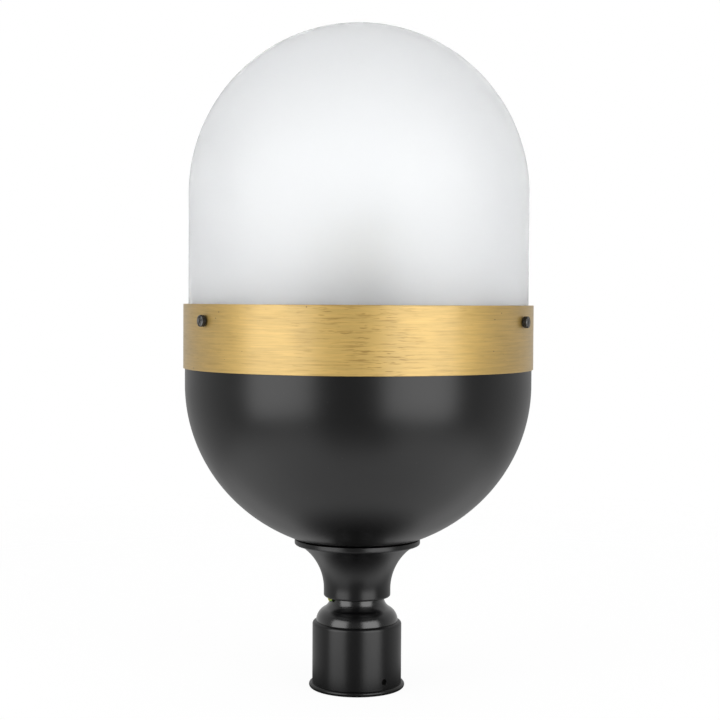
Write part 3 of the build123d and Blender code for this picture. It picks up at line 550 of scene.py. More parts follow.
def bulb_glass(looks):
    """Clear blown glass with a slight unevenness."""
    f = Finish("bulb_glass")
    wave = f.noise(f.place(), 60.0, 1.0)
    clear = tuple(looks.clear)
    return f.done({
        "Base Color": f.blend(wave, shade(clear, 0.97), clear),
        "Roughness": 0.02 + 0.03 * wave,
        "IOR": 1.45,
        "Transmission Weight": 1.0,
        "Normal": f.bump(wave, 0.04, 0.0004),
    })


def metal(looks, name, key, roughness, stretch):
    """Plain metal in the colour of that key, with a drawn or rolled grain and stains."""
    f = Finish(name)
    tint = tuple(getattr(looks, key))
    grain = f.noise(f.place(stretch), 1.0, 3.0, 0.6)
    stain = f.noise(f.place(), 130.0, 3.0)
    tone = f.blend(f.ease(stain, 0.4, 0.75), tint, shade(tint, 0.68))
    return f.done({
        "Base Color": tone,
        "Metallic": 1.0,
        "Roughness": roughness - 0.06 + 0.18 * grain,
        "Normal": f.bump(grain, 0.12, 0.0001),
    })


def moulded(looks, name, key, roughness):
    """Plastic, rubber or lacquer in the colour of that key, with a fine grain and a slight cloud."""
    f = Finish(name)
    tint = tuple(getattr(looks, key))
    grain = f.noise(f.place(), 1300.0, 2.0)
    cloud = f.noise(f.place(), 70.0, 3.0)
    return f.done({
        "Base Color": f.blend(cloud, shade(tint, 0.82), shade(tint, 1.12)),
        "Roughness": roughness - 0.05 + 0.1 * cloud,
        "Normal": f.bump(grain, 0.1, 0.00008),
    })


def black_steel(looks):
    """Blackened steel: dark oxide, worn grey on the faces of the heads; that grey also paints a highlight on
    the faces.
    """
    f = Finish("blackened_steel")
    wear = f.noise(f.place(), 420.0, 4.0, 0.65)
    grain = f.noise(f.place(), 1900.0, 2.0)
    dark = tuple(looks.screw)
    sizes = bpy.context.scene.post_light_body
    # Painted highlight as well as wear: the grey and the extra metal on the heads' faces also stand in for
    # light falling on them.
    reach = f.reach(f.place((1.0, 1.0, 0.0)))
    face = f.ease(reach, sizes.screw_end - sizes.wear_and_sheen_start, sizes.screw_end - sizes.wear_and_sheen_full)
    tone = f.blend(f.ease(wear, 0.52, 0.72), dark, tuple(looks.screw_worn))
    tone = f.blend(f.ease(wear, 0.36, 0.56) * face, tone, tuple(looks.screw_bare))
    return f.done({
        "Base Color": tone,
        "Metallic": 0.35 + 0.5 * face,
        "Roughness": 0.3 + 0.2 * wear,
        "Normal": f.bump(grain, 0.15, 0.00006),
    })


def black_oxide(looks):
    """Black oxide of the sunk screws, matt and oily, made extra deep black to paint the shade down in their
    holes.
    """
    f = Finish("black_oxide")
    grain = f.noise(f.place(), 1900.0, 2.0)
    dark = tuple(looks.screw)
    return f.done({
        "Base Color": f.blend(grain, shade(dark, 0.12), shade(dark, 0.3)),
        "Roughness": 0.6 + 0.15 * grain,
        "Specular IOR Level": 0.12,
        "Normal": f.bump(grain, 0.1, 0.00006),
    })


def earth_insulation(looks):
    """Yellow insulation with a green stripe along it."""
    f = Finish("earth_insulation")
    stripe = f.ease(f.noise(f.place((95.0, 95.0, 30.0)), 1.0, 1.0), 0.5, 0.54)
    grain = f.noise(f.place(), 900.0, 2.0)
    tone = f.blend(stripe, tuple(looks.lead_earth), tuple(looks.lead_stripe))
    return f.done({
        "Base Color": f.blend(grain * 0.25, tone, shade(looks.lead_earth, 0.7)),
        "Roughness": 0.38 + 0.12 * grain,
        "Normal": f.bump(grain, 0.08, 0.00008),
    })


FINISHES = {
    "black_coat": (satin_black,),
    "black_lacquer": (gloss_black,),
    "gold": (brushed_gold,),
    "frosted_glass": (frosted_glass,),
    "clear_glass": (bulb_glass,),
    "zinc_steel": (metal, "zinc_steel", "steel", 0.36, (900.0, 900.0, 260.0)),
    "brass_shell": (metal, "pressed_brass", "brass", 0.3, (260.0, 260.0, 900.0)),
    "black_screw": (black_steel,),
    "black_oxide": (black_oxide,),
    "seal": (moulded, "grey_silicone", "seal", 0.6),
    "white_plastic": (moulded, "white_nylon", "nylon", 0.5),
    "socket_plastic": (moulded, "socket_plastic", "socket", 0.26),
    "candle_plastic": (moulded, "candle_plastic", "candle", 0.46),
    "filament": (moulded, "coated_filament", "filament", 0.55),
    "green_screw": (moulded, "green_lacquer", "green", 0.32),
    "black_lead": (moulded, "black_insulation", "lead_black", 0.42),
    "white_lead": (moulded, "white_insulation", "lead_white", 0.42),
    "earth_lead": (earth_insulation,),
}
made_finishes = {}


def finish_of(slot):
    """Material of a slot, made on first use."""
    if slot not in made_finishes:
        make, *details = FINISHES[slot]
        made_finishes[slot] = make(bpy.context.scene.post_light_finishes, *details)
    return made_finishes[slot]


# Surfaces


def arc(centre, radius, start, end, steps):
    """Points on a circular or elliptical arc: centre + radius (cos t, sin t), angles in radians."""
    t = np.linspace(start, end, steps)
    return np.asarray(centre) + np.column_stack([np.cos(t), np.sin(t)]) * np.asarray(radius)


def rounded(*corners):
    """Outline through (radius, height, rounding) corners, each rounding an arc tangent to both sides."""
    points = np.array([corner[:2] for corner in corners], float)
    runs = []
    for k, (_, _, rounding) in enumerate(corners):
        here = points[k]
        if rounding <= 0:
            runs.append(here[None])
            continue
        back = points[k - 1] - here
        ahead = points[(k + 1) % len(points)] - here
        back /= np.linalg.norm(back)
        ahead /= np.linalg.norm(ahead)
        half = math.acos(float(back @ ahead)) / 2
        inward = back + ahead
        centre = here + inward / np.linalg.norm(inward) * rounding / math.sin(half)
        start, end = (here + side * rounding / math.tan(half) - centre for side in (back, ahead))
        first = math.atan2(start[1], start[0])
        sweep = (math.atan2(end[1], end[0]) - first + math.pi) % TURN - math.pi
        runs.append(arc(centre, rounding, first, first + sweep, ARC_STEPS))
    return np.concatenate(runs)


def filled(outline, step, guard=0.0003, closed=True):
    """Outline with points added to its long straight runs: one near each end, then one every step."""
    path = np.vstack([outline, outline[:1]]) if closed else outline
    run = np.linalg.norm(np.diff(path, axis=0), axis=1)
    along = np.concatenate([[0.0], np.cumsum(run)])
    stretch = run > max(4 * guard, step / 1.5)
    inside = np.arange(step, along[-1], step)
    piece = np.clip(np.searchsorted(along, inside) - 1, 0, len(run) - 1)
    clear = stretch[piece] & (inside - along[piece] > 2 * guard) & (along[piece + 1] - inside > 2 * guard)
    places = [along, along[:-1][stretch] + guard, along[1:][stretch] - guard, inside[clear]]
    places = np.sort(np.concatenate(places))
    if closed:
        places = places[places < along[-1] - 1e-9]
    return np.column_stack([np.interp(places, along, path[:, k]) for k in (0, 1)])


def turned(outline, turns, lift=None):
    """Shape of an outline (r, z) carried round the Z axis: x = r cos a, y = r sin a, z = z.

    The material lies on the outline's left. lift(a, r, z) adds to the radius. An outline whose
    ends lie on the axis is closed by poles, and any other outline is closed on itself.
    A shape is its points and its faces.
    """
    poles = outline[0, 0] < 1e-9 and outline[-1, 0] < 1e-9
    body = outline[1:-1] if poles else outline
    a = np.arange(turns) * TURN / turns
    r = np.repeat(body[:, :1], turns, axis=1)
    z = np.repeat(body[:, 1:], turns, axis=1)
    if lift is not None:
        r = r + lift(a[None, :], r, z)
    points = np.stack([r * np.cos(a), r * np.sin(a), z], axis=-1).reshape(-1, 3)
    rows = len(body)
    row = np.arange(rows - 1 if poles else rows)[:, None]
    column = np.arange(turns)[None, :]
    after = (row + 1) % rows
    beside = (column + 1) % turns
    low_edge = (row * turns + column, row * turns + beside)
    high_edge = (after * turns + beside, after * turns + column)
    grid = np.stack(np.broadcast_arrays(*low_edge, *high_edge), axis=-1)
    faces = grid.reshape(-1, 4).tolist()
    if poles:
        count = len(points)
        points = np.vstack([points, [0, 0, outline[0, 1]], [0, 0, outline[-1, 1]]])
        column, beside = column[0], beside[0]
        last = (rows - 1) * turns
        faces += np.stack([np.full(turns, count), beside, column], axis=-1).tolist()
        faces += np.stack([last + column, last + beside, np.full(turns, count + 1)], axis=-1).tolist()
    return points, faces


def thread(radius, depth, pitch, bottom, top):
    """Screw thread as a radial lift: -depth (1 - w) with w a rounded wave of z / pitch - a / 2 pi,
    only on the wall at that radius, and fading out over half a pitch at both ends."""

    def lift(a, r, z):
        wave = 0.5 + 0.5 * np.cos(TURN * (z / pitch - a / TURN))
        fade = np.clip(np.minimum(z - bottom, top - z) / (0.5 * pitch), 0.0, 1.0)
        return np.where(np.abs(r - radius) < 1e-6, -depth * (1 - wave) * fade, 0.0)

    return lift


def hexagon(a, half):
    """Radius of a six-sided outline at the angle a: half / cos(a), a taken from the nearest flat."""
    return half / np.cos((a + math.pi / 6) % (math.pi / 3) - math.pi / 6)


def placed(shape, matrix):
    """Shape with its points moved by a matrix."""
    points, faces = shape
    matrix = np.array(matrix)
    return points @ matrix[:3, :3].T + matrix[:3, 3], faces


def moved(shape, turn, outward):
    """Shape moved out from the axis and then turned about it."""
    return placed(shape, Matrix.Rotation(turn, 4, "Z") @ Matrix.Translation((outward, 0, 0)))


def along_radius(shape, turn, height):
    """Shape whose own Z axis is laid along the light's radius at that angle and height."""
    upright = Matrix.Rotation(turn, 4, "Z") @ Matrix.Translation((0, 0, height))
    return placed(shape, upright @ Matrix.Rotation(math.pi / 2, 4, "Y"))


def mesh_of(name, shape):
    """Mesh of a shape, smooth but for its sharp edges."""
    points, faces = shape
    mesh = bpy.data.meshes.new(name)
    mesh.from_pydata(points.tolist(), [], faces)
    mesh.shade_smooth()
    mesh.set_sharp_from_angle(angle=SHARP_ANGLE)
    if mesh.validate():
        raise RuntimeError(f"{name} has faces that are not valid")
    return mesh


def piece_of(name, shape, slot, body, *nodes):
    """Finished piece: its mesh, its material, the body it rides on and the solids it stands for."""
    piece = bpy.data.objects.new(name, mesh_of(name, shape))
    bpy.context.scene.collection.objects.link(piece)
    piece.data.materials.append(finish_of(slot))
    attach(piece, body)
    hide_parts(*nodes)
    return piece


def cut(piece, shape):
    """Cuts a closed shape out of a piece and keeps the result as its mesh."""
    tool = bpy.data.objects.new("cutter", mesh_of("cutter", shape))
    bpy.context.scene.collection.objects.link(tool)
    modifier = piece.modifiers.new("cut", "BOOLEAN")
    modifier.operation = "DIFFERENCE"
    modifier.solver = "EXACT"
    modifier.object = tool
    graph = bpy.context.evaluated_depsgraph_get()
    mesh = bpy.data.meshes.new_from_object(piece.evaluated_get(graph))
    piece.modifiers.clear()
    piece.data = mesh
    bpy.data.objects.remove(tool)
    mesh.shade_smooth()
    mesh.set_sharp_from_angle(angle=SHARP_ANGLE)


def bore(piece, radius, start, end, angles, height):
    """Bores round holes along the light's radius at each angle."""
    outline = np.array([[0, start], [radius, start], [radius, end], [0, end]])
    shape = turned(outline, TINY_TURNS)
    for turn in angles:
        cut(piece, along_radius(shape, turn, height))


# Operators


class PieceOperator:
    """What every operator of this file shares."""

    bl_options = {"REGISTER", "UNDO"}


class POSTLIGHT_OT_sleeve(PieceOperator, bpy.types.Operator):
    """Sleeve over the post, with its rolled bead, shoulder and grub screw holes"""

    bl_idname = "postlight.sleeve"
    bl_label = "Post sleeve"

    def execute(self, context):
        n = context.scene.post_light_neck
        outline = rounded(
            (n.sleeve_bore, 0, EDGE_ROUNDING),
            (n.bead_outer, 0, n.bead_rounding),
            (n.bead_outer, n.bead_height, n.bead_rounding),
            (n.sleeve_outer, n.bead_height, 0),
            (n.sleeve_outer, n.sleeve_top, n.sleeve_shoulder),
            (n.ledge_bore, n.sleeve_top, 0),
            (n.ledge_bore, n.sleeve_top - n.ledge_height, 0),
            (n.sleeve_bore, n.sleeve_top - n.ledge_height, 0),
        )
        shape = turned(filled(outline, step=0.0025), BIG_TURNS)
        piece = piece_of("post_sleeve_shell", shape, "black_coat", "fitting", "post_sleeve")
        start, end = n.sleeve_bore - CUT_OVERRUN, n.sleeve_outer + CUT_OVERRUN
        bore(piece, n.grub_hole, start, end, GRUB_ANGLES, n.grub_height)
        return {"FINISHED"}


class POSTLIGHT_OT_grub_screws(PieceOperator, bpy.types.Operator):
    """Grub screws with six-sided sockets, sunk in the sleeve's wall"""

    bl_idname = "postlight.grub_screws"
    bl_label = "Grub screws"

    def execute(self, context):
        n = context.scene.post_light_neck
        start = n.sleeve_bore + n.grub_shy
        end = n.sleeve_outer - n.grub_recess
        socket = n.grub_socket
        floor = end - n.grub_socket_depth
        outline = rounded(
            (0, start, 0),
            (n.grub_radius, start, EDGE_ROUNDING),
            (n.grub_radius, end, EDGE_ROUNDING),
            (socket, end, 0),
            (socket, floor, 0),
            (0, floor - n.grub_point, 0),
        )

        def six_sided(a, r, z):
            return np.where(np.abs(r - socket) < 1e-7, hexagon(a, socket) - socket, 0.0)

        shape = turned(outline, TINY_TURNS, six_sided)
        for i, turn in enumerate(GRUB_ANGLES, 1):
            screw = along_radius(shape, turn, n.grub_height)
            node = f"grub_screw_{i}"
            piece = piece_of(f"sunk_grub_screw_{i}", screw, "black_screw", node, node)
            # This darker, duller finish paints the shade inside the sleeve's grub screw holes.
            piece.data.materials[0] = finish_of("black_oxide")
        return {"FINISHED"}


class POSTLIGHT_OT_cap(PieceOperator, bpy.types.Operator):
    """Ogee cap: spigot, dome, hollow curve, neck and web"""

    bl_idname = "postlight.cap"
    bl_label = "Sleeve cap"

    def execute(self, context):
        n = context.scene.post_light_neck
        crown_r = n.cap_radius - n.cap_crown
        hollow_r = n.neck_radius + n.cap_hollow
        apart = hollow_r - crown_r
        rise = math.sqrt((n.cap_crown + n.cap_hollow) ** 2 - apart**2)
        lean = math.atan2(rise, apart)
        hollow_z = n.sleeve_top + rise
        spigot_outer = n.ledge_bore - n.cap_fit
        spigot_inner = spigot_outer - n.cap_wall
        spigot_bottom = n.sleeve_top - n.cap_spigot
        web_bottom = n.neck_top - n.cap_web
        inner_crown = n.cap_crown - n.cap_wall
        inner_start = math.acos((spigot_inner - crown_r) / inner_crown)
        crown = arc((crown_r, n.sleeve_top), n.cap_crown, 0, lean, steps=28)
        hollow = arc((hollow_r, hollow_z), n.cap_hollow, math.pi + lean, math.pi, steps=24)
        wide_hollow = n.cap_hollow + n.cap_wall
        inner_hollow = arc((hollow_r, hollow_z), wide_hollow, math.pi, math.pi + lean, steps=16)
        inner = arc((crown_r, n.sleeve_top), inner_crown, lean, inner_start, steps=16)
        edge = n.neck_rounding
        top = arc((n.neck_radius - edge, n.neck_top - edge), edge, 0, math.pi / 2, steps=7)
        foot = [(spigot_inner, spigot_bottom), (spigot_outer, spigot_bottom), (spigot_outer, n.sleeve_top)]
        web = [(n.rod_hole, n.neck_top), (n.rod_hole, web_bottom), (n.neck_radius - n.cap_wall, web_bottom)]
        outline = np.vstack([foot, crown, hollow[1:], top, web, inner_hollow, inner[1:]])
        shape = turned(filled(outline, step=0.003), BIG_TURNS)
        piece = piece_of("sleeve_cap_shell", shape, "black_coat", "fitting", "sleeve_cap")
        piece.data.materials[0] = finish_of("black_lacquer")
        return {"FINISHED"}


class POSTLIGHT_OT_bell(PieceOperator, bpy.types.Operator):
    """Trumpet bell with a rounded lip, open below round the neck"""

    bl_idname = "postlight.bell"
    bl_label = "Neck bell"

    def execute(self, context):
        n = context.scene.post_light_neck
        flare_bottom = n.bell_lip + n.bell_straight
        web_bottom = n.bell_top - n.bell_web
        tall = n.bell_top - flare_bottom
        wide = n.bell_top_radius - n.bell_lip_radius
        curve = (tall**2 + wide**2) / (2 * wide)
        centre = (n.bell_lip_radius + curve, flare_bottom)
        flare = arc(centre, curve, math.pi, math.pi - math.asin(tall / curve), steps=40)
        inner_curve = curve + n.bell_wall
        inner_angle = math.asin((web_bottom - flare_bottom) / inner_curve)
        inner = arc(centre, inner_curve, math.pi - inner_angle, math.pi, steps=32)
        rounding = n.bell_rounding
        lip = arc((n.bell_lip_radius - rounding, n.bell_lip + rounding), rounding, -math.pi / 2, 0, ARC_STEPS)
        inside = [(n.bell_lip_radius - n.bell_wall, n.bell_lip)]
        web = [(n.rod_hole, n.bell_top), (n.rod_hole, web_bottom)]
        outline = np.vstack([inside, lip, flare, web, inner])
        shape = turned(filled(outline, step=0.003), BIG_TURNS)
        piece_of("neck_bell_shell", shape, "black_coat", "fitting", "neck_bell")
        return {"FINISHED"}


class POSTLIGHT_OT_saucer(PieceOperator, bpy.types.Operator):
    """Thin saucer whose rim stops just short of the bowl"""

    bl_idname = "postlight.saucer"
    bl_label = "Saucer"

    def execute(self, context):
        n = context.scene.post_light_neck
        inner = n.saucer_radius - n.saucer_rim
        floor = n.bell_top + n.saucer_floor
        outline = rounded(
            (n.rod_hole, n.bell_top, 0),
            (n.saucer_radius, n.bell_top, n.saucer_under),
            (n.saucer_radius, n.saucer_top, n.saucer_edge),
            (inner, n.saucer_top, EDGE_ROUNDING),
            (inner, floor, 0),
            (n.rod_hole, floor, 0),
        )
        shape = turned(filled(outline, step=0.004), BIG_TURNS)
        piece_of("saucer_dish", shape, "black_coat", "fitting", "saucer")
        return {"FINISHED"}


class POSTLIGHT_OT_bowl(PieceOperator, bpy.types.Operator):
    """Spun bowl: flat floor, elliptical side, straight wall and turned-in lip"""

    bl_idname = "postlight.bowl"
    bl_label = "Bowl"

    def execute(self, context):
        n = context.scene.post_light_neck
        b = context.scene.post_light_body
        centre = b.bowl_rim - b.bowl_straight
        floor = b.bowl_bottom + b.bowl_wall
        half = np.array([b.bowl_radius, b.bowl_depth])
        inner_half = half - b.bowl_wall
        low_angle = -math.asin((centre - b.bowl_bottom) / half[1])
        inner_angle = -math.asin((centre - floor) / inner_half[1])
        side = arc((0, centre), half, low_angle, 0, steps=90)
        inner_side = arc((0, centre), inner_half, 0, inner_angle, steps=70)
        lip = b.bowl_radius - b.bowl_lip
        bend, tight = b.bowl_bend, b.bowl_bend - b.bowl_wall
        outer_bend = arc((b.bowl_radius - bend, b.bowl_rim - bend), bend, 0, math.pi / 2, ARC_STEPS)
        inner_bend = arc((b.bowl_radius - bend, b.bowl_rim - bend), tight, math.pi / 2, 0, ARC_STEPS)
        edge = [(lip, b.bowl_rim), (lip, b.bowl_rim - b.bowl_wall)]
        hole = [(n.rod_hole, floor), (n.rod_hole, b.bowl_bottom)]
        outline = np.vstack([side, outer_bend, edge, inner_bend, inner_side, hole])
        shape = turned(filled(outline, step=0.006), BIG_TURNS)
        piece_of("spun_bowl", shape, "black_coat", "fitting", "bowl")
        return {"FINISHED"}


class POSTLIGHT_OT_band(PieceOperator, bpy.types.Operator):
    """Rolled gold band with the waviness of rolled sheet and its screw holes"""

    bl_idname = "postlight.band"
    bl_label = "Gold band"

    def execute(self, context):
        b = context.scene.post_light_body
        inner = b.band_outer - b.band_wall
        outline = rounded(
            (inner, b.band_bottom, b.band_rounding),
            (b.band_outer, b.band_bottom, b.band_rounding),
            (b.band_outer, b.band_top, b.band_rounding),
            (inner, b.band_top, b.band_rounding),
        )

        def waves(a, r, z):
            """Waves of 7 and of 13 to the turn, pressed into the outer face only."""
            tall = (z - b.band_bottom) / (b.band_top - b.band_bottom)
            slow = np.sin(7 * a + 1.3) * np.sin(math.pi * tall) + 0.6 * np.sin(13 * a + 4 * tall)
            return -b.band_wave * (1 + slow / 1.6) * (r > inner + b.band_wall / 2)

        shape = turned(filled(outline, step=0.004), BIG_TURNS, waves)
        piece = piece_of("rolled_band", shape, "gold", "fitting", "gold_band")
        start, end = inner - CUT_OVERRUN, b.band_outer + CUT_OVERRUN
        bore(piece, b.screw_hole, start, end, GLASS_SCREW_ANGLES, b.screw_height)
        return {"FINISHED"}


class POSTLIGHT_OT_glass(PieceOperator, bpy.types.Operator):
    """Frosted glass dome: straight wall, round top and a rounded foot"""

    bl_idname = "postlight.glass"
    bl_label = "Glass dome"

    def execute(self, context):
        b = context.scene.post_light_body
        inner = b.glass_radius - b.glass_wall
        shoulder = b.glass_top - b.glass_radius
        foot = b.glass_rounding
        inner_dome = arc((0, shoulder), inner, math.pi / 2, 0, steps=76)
        inner_dome[0, 0] = 0.0
        dome = arc((0, shoulder), b.glass_radius, 0, math.pi / 2, steps=76)
        dome[-1, 0] = 0.0
        inner_foot = arc((inner + foot, b.glass_bottom + foot), foot, math.pi, 1.5 * math.pi, ARC_STEPS)
        outer_foot = arc((b.glass_radius - foot, b.glass_bottom + foot), foot, -math.pi / 2, 0, ARC_STEPS)
        outline = np.vstack([inner_dome, inner_foot, outer_foot, dome])
        shape = turned(filled(outline, step=0.006, closed=False), BIG_TURNS)
        piece_of("frosted_dome", shape, "frosted_glass", "glass", "glass_dome")
        return {"FINISHED"}


class POSTLIGHT_OT_glass_screws(PieceOperator, bpy.types.Operator):
    """Slotted cheese-head screws with threaded shanks"""

    bl_idname = "postlight.glass_screws"
    bl_label = "Glass screws"

    def execute(self, context):
        b = context.scene.post_light_body
        outline = rounded(
            (0, b.screw_start, 0),
            (b.screw_radius, b.screw_start, b.screw_tip),
            (b.screw_radius, b.screw_seat, 0),
            (b.screw_head, b.screw_seat, EDGE_ROUNDING),
            (b.screw_head, b.screw_end, b.screw_rounding),
            (0, b.screw_end, 0),
        )
        cutting = thread(b.screw_radius, b.screw_thread, b.screw_pitch, b.screw_start, b.screw_seat)
        outline = filled(outline, step=b.screw_pitch / 8, guard=0.00005, closed=False)
        shape = turned(outline, TINY_TURNS, cutting)
        half, wide = b.slot_width / 2, 1.5 * b.screw_head
        deep, clear = b.screw_end - b.slot_depth, b.screw_end + SLOT_OVERRUN
        u, v, w = np.meshgrid([-wide, wide], [-half, half], [deep, clear], indexing="ij")
        corners = np.column_stack([u.ravel(), v.ravel(), w.ravel()])
        faces = [[0, 1, 3, 2], [4, 6, 7, 5], [0, 4, 5, 1], [2, 3, 7, 6], [0, 2, 6, 4], [1, 5, 7, 3]]
        slot = placed((corners, faces), Matrix.Rotation(b.slot_turn, 4, "Z"))
        for i, turn in enumerate(GLASS_SCREW_ANGLES, 1):
            screw = along_radius(shape, turn, b.screw_height)
            node = f"glass_screw_{i}"
            piece = piece_of(f"cheese_head_screw_{i}", screw, "black_screw", node, node)
            cut(piece, along_radius(slot, turn, b.screw_height))
        return {"FINISHED"}


class POSTLIGHT_OT_rod(PieceOperator, bpy.types.Operator):
    """Hollow threaded rod and its chamfered nuts"""

    bl_idname = "postlight.rod"
    bl_label = "Threaded rod and nuts"

    def execute(self, context):
        s = context.scene.post_light_lamps
        chamfer = s.rod_chamfer
        outline = rounded(
            (s.rod_bore, s.rod_bottom, 0),
            (s.rod_radius - chamfer, s.rod_bottom, 0),
            (s.rod_radius, s.rod_bottom + chamfer, 0),
            (s.rod_radius, s.rod_top - chamfer, 0),
            (s.rod_radius - chamfer, s.rod_top, 0),
            (s.rod_bore, s.rod_top, 0),
        )
        cutting = thread(s.rod_radius, s.rod_thread, s.rod_pitch, s.rod_bottom, s.rod_top)
        outline = filled(outline, step=s.rod_pitch / 6, guard=0.00005)
        shape = turned(outline, TINY_TURNS, cutting)
        piece_of("hollow_rod", shape, "zinc_steel", "fitting", "threaded_rod")
        for node in ("lower_nut", "bowl_nut", "rod_top_nut"):
            nut = chamfered_nut(s.nut_flats, s.nut_bore, low(node).z, high(node).z)
            piece_of(f"chamfered_{node}", nut, "zinc_steel", "fitting", node)
        return {"FINISHED"}


def chamfered_nut(flats, hole, bottom, top):
    """Six-sided nut: radius of the hexagon, held below a cone of 30 degrees at both faces."""
    corner = flats / math.sqrt(3)
    face = flats * NUT_FACE_SHARE
    wall = np.column_stack([np.full(NUT_ROWS, corner), np.linspace(bottom, top, NUT_ROWS)])
    outline = np.vstack([[(hole, top), (hole, bottom), (face, bottom)], wall, [(face, top)]])

    def six_sided(a, r, z):
        cone = face + np.minimum(z - bottom, top - z) / math.tan(NUT_CONE)
        return np.where(r > corner - 1e-7, np.minimum(hexagon(a, flats / 2), cone) - corner, 0.0)

    return turned(outline, NUT_TURNS, six_sided)


class POSTLIGHT_OT_sockets(PieceOperator, bpy.types.Operator):
    """Screw shells in the sockets and the candle sleeves round them"""

    bl_idname = "postlight.sockets"
    bl_label = "Sockets"

    def execute(self, context):
        s = context.scene.post_light_lamps
        bottom, top = low("socket_shell_1").z, high("socket_shell_1").z
        outline = np.array(
            [(s.shell_inner, bottom), (s.shell_outer, bottom), (s.shell_outer, top), (s.shell_inner, top)]
        )
        cutting = thread(s.shell_outer, s.shell_thread, s.lamp_pitch, bottom, top)
        shell = turned(filled(outline, step=s.lamp_pitch / 8, guard=0.0001), TINY_TURNS, cutting)
        bottom, top = low("candle_sleeve_1").z, high("candle_sleeve_1").z
        inner = s.candle_radius - s.candle_wall
        outline = rounded(
            (inner, bottom, 0),
            (s.candle_radius, bottom, EDGE_ROUNDING),
            (s.candle_radius, top, EDGE_ROUNDING),
            (inner, top, EDGE_ROUNDING),
        )
        tube = turned(filled(outline, step=0.004), SMALL_TURNS)
        for i, turn in enumerate(SOCKET_ANGLES, 1):
            shape = moved(shell, turn, s.socket_ring)
            piece_of(f"screw_shell_{i}", shape, "brass_shell", "fitting", f"socket_shell_{i}")
            shape = moved(tube, turn, s.socket_ring)
            piece_of(f"candle_tube_{i}", shape, "candle_plastic", "fitting", f"candle_sleeve_{i}")
        return {"FINISHED"}


class POSTLIGHT_OT_bulbs(PieceOperator, bpy.types.Operator):
    """Torpedo bulbs: threaded base with its tip and collar, and a thin glass envelope"""

    bl_idname = "postlight.bulbs"
    bl_label = "Bulbs"

    def execute(self, context):
        s = context.scene.post_light_lamps
        bottom, top = low("bulb_base_1").z, high("bulb_base_1").z
        shoulder = bottom + s.tip_height
        collar = top - s.collar_height
        outline = rounded(
            (0, bottom, 0),
            (s.tip_radius, bottom, s.tip_rounding),
            (s.tip_radius, shoulder, 0),
            (s.base_radius, shoulder + s.base_slope, s.base_rounding),
            (s.base_radius, collar, 0),
            (s.collar_radius, collar, s.base_rounding),
            (s.collar_radius, top, s.base_rounding),
            (0, top, 0),
        )
        ends = shoulder + s.base_plain, collar - s.base_runout
        cutting = thread(s.base_radius, s.base_thread, s.lamp_pitch, *ends)
        outline = filled(outline, step=s.lamp_pitch / 10, guard=0.0001, closed=False)
        base = turned(outline, TINY_TURNS, cutting)
        bottom, top = low("bulb_glass_1").z, high("bulb_glass_1").z
        outer = torpedo(s, bottom, top, 0.0)
        inner = torpedo(s, bottom, top, s.bulb_wall)[::-1]
        outline = filled(np.vstack([inner, outer]), step=0.002, closed=False)
        envelope = turned(outline, SMALL_TURNS)
        for i, turn in enumerate(SOCKET_ANGLES, 1):
            shape = moved(base, turn, s.socket_ring)
            piece_of(f"screw_base_{i}", shape, "brass_shell", f"bulb_{i}", f"bulb_base_{i}")
            shape = moved(envelope, turn, s.socket_ring)
            piece_of(f"torpedo_glass_{i}", shape, "clear_glass", f"bulb_{i}", f"bulb_glass_{i}")
        return {"FINISHED"}


def torpedo(s, bottom, top, inset):
    """Outer or inner outline of a bulb from its neck to its point, set in by the inset."""
    return rounded(
        (s.bulb_neck - inset, bottom, 0),
        (s.bulb_neck - inset, bottom + s.neck_height, s.neck_curve),
        (s.bulb_radius - inset, bottom + s.belly_low, s.belly_curve),
        (s.bulb_radius - inset, bottom + s.belly_high, s.taper_curve),
        (s.bulb_point - inset, top - inset, s.point_curve - inset),
        (0, top - inset, 0),
    )


class POSTLIGHT_OT_fittings(PieceOperator, bpy.types.Operator):
    """Finishes of the solids that show as they are"""

    bl_idname = "postlight.fittings"
    bl_label = "Other fittings"

    def execute(self, context):
        slots = {row["node"]: row["material_slot"] for row in frame["record"]["subparts"]}
        for node, solid in frame["nodes"].items():
            solid.data.materials.clear()
            solid.data.materials.append(finish_of(slots[node]))
        return {"FINISHED"}


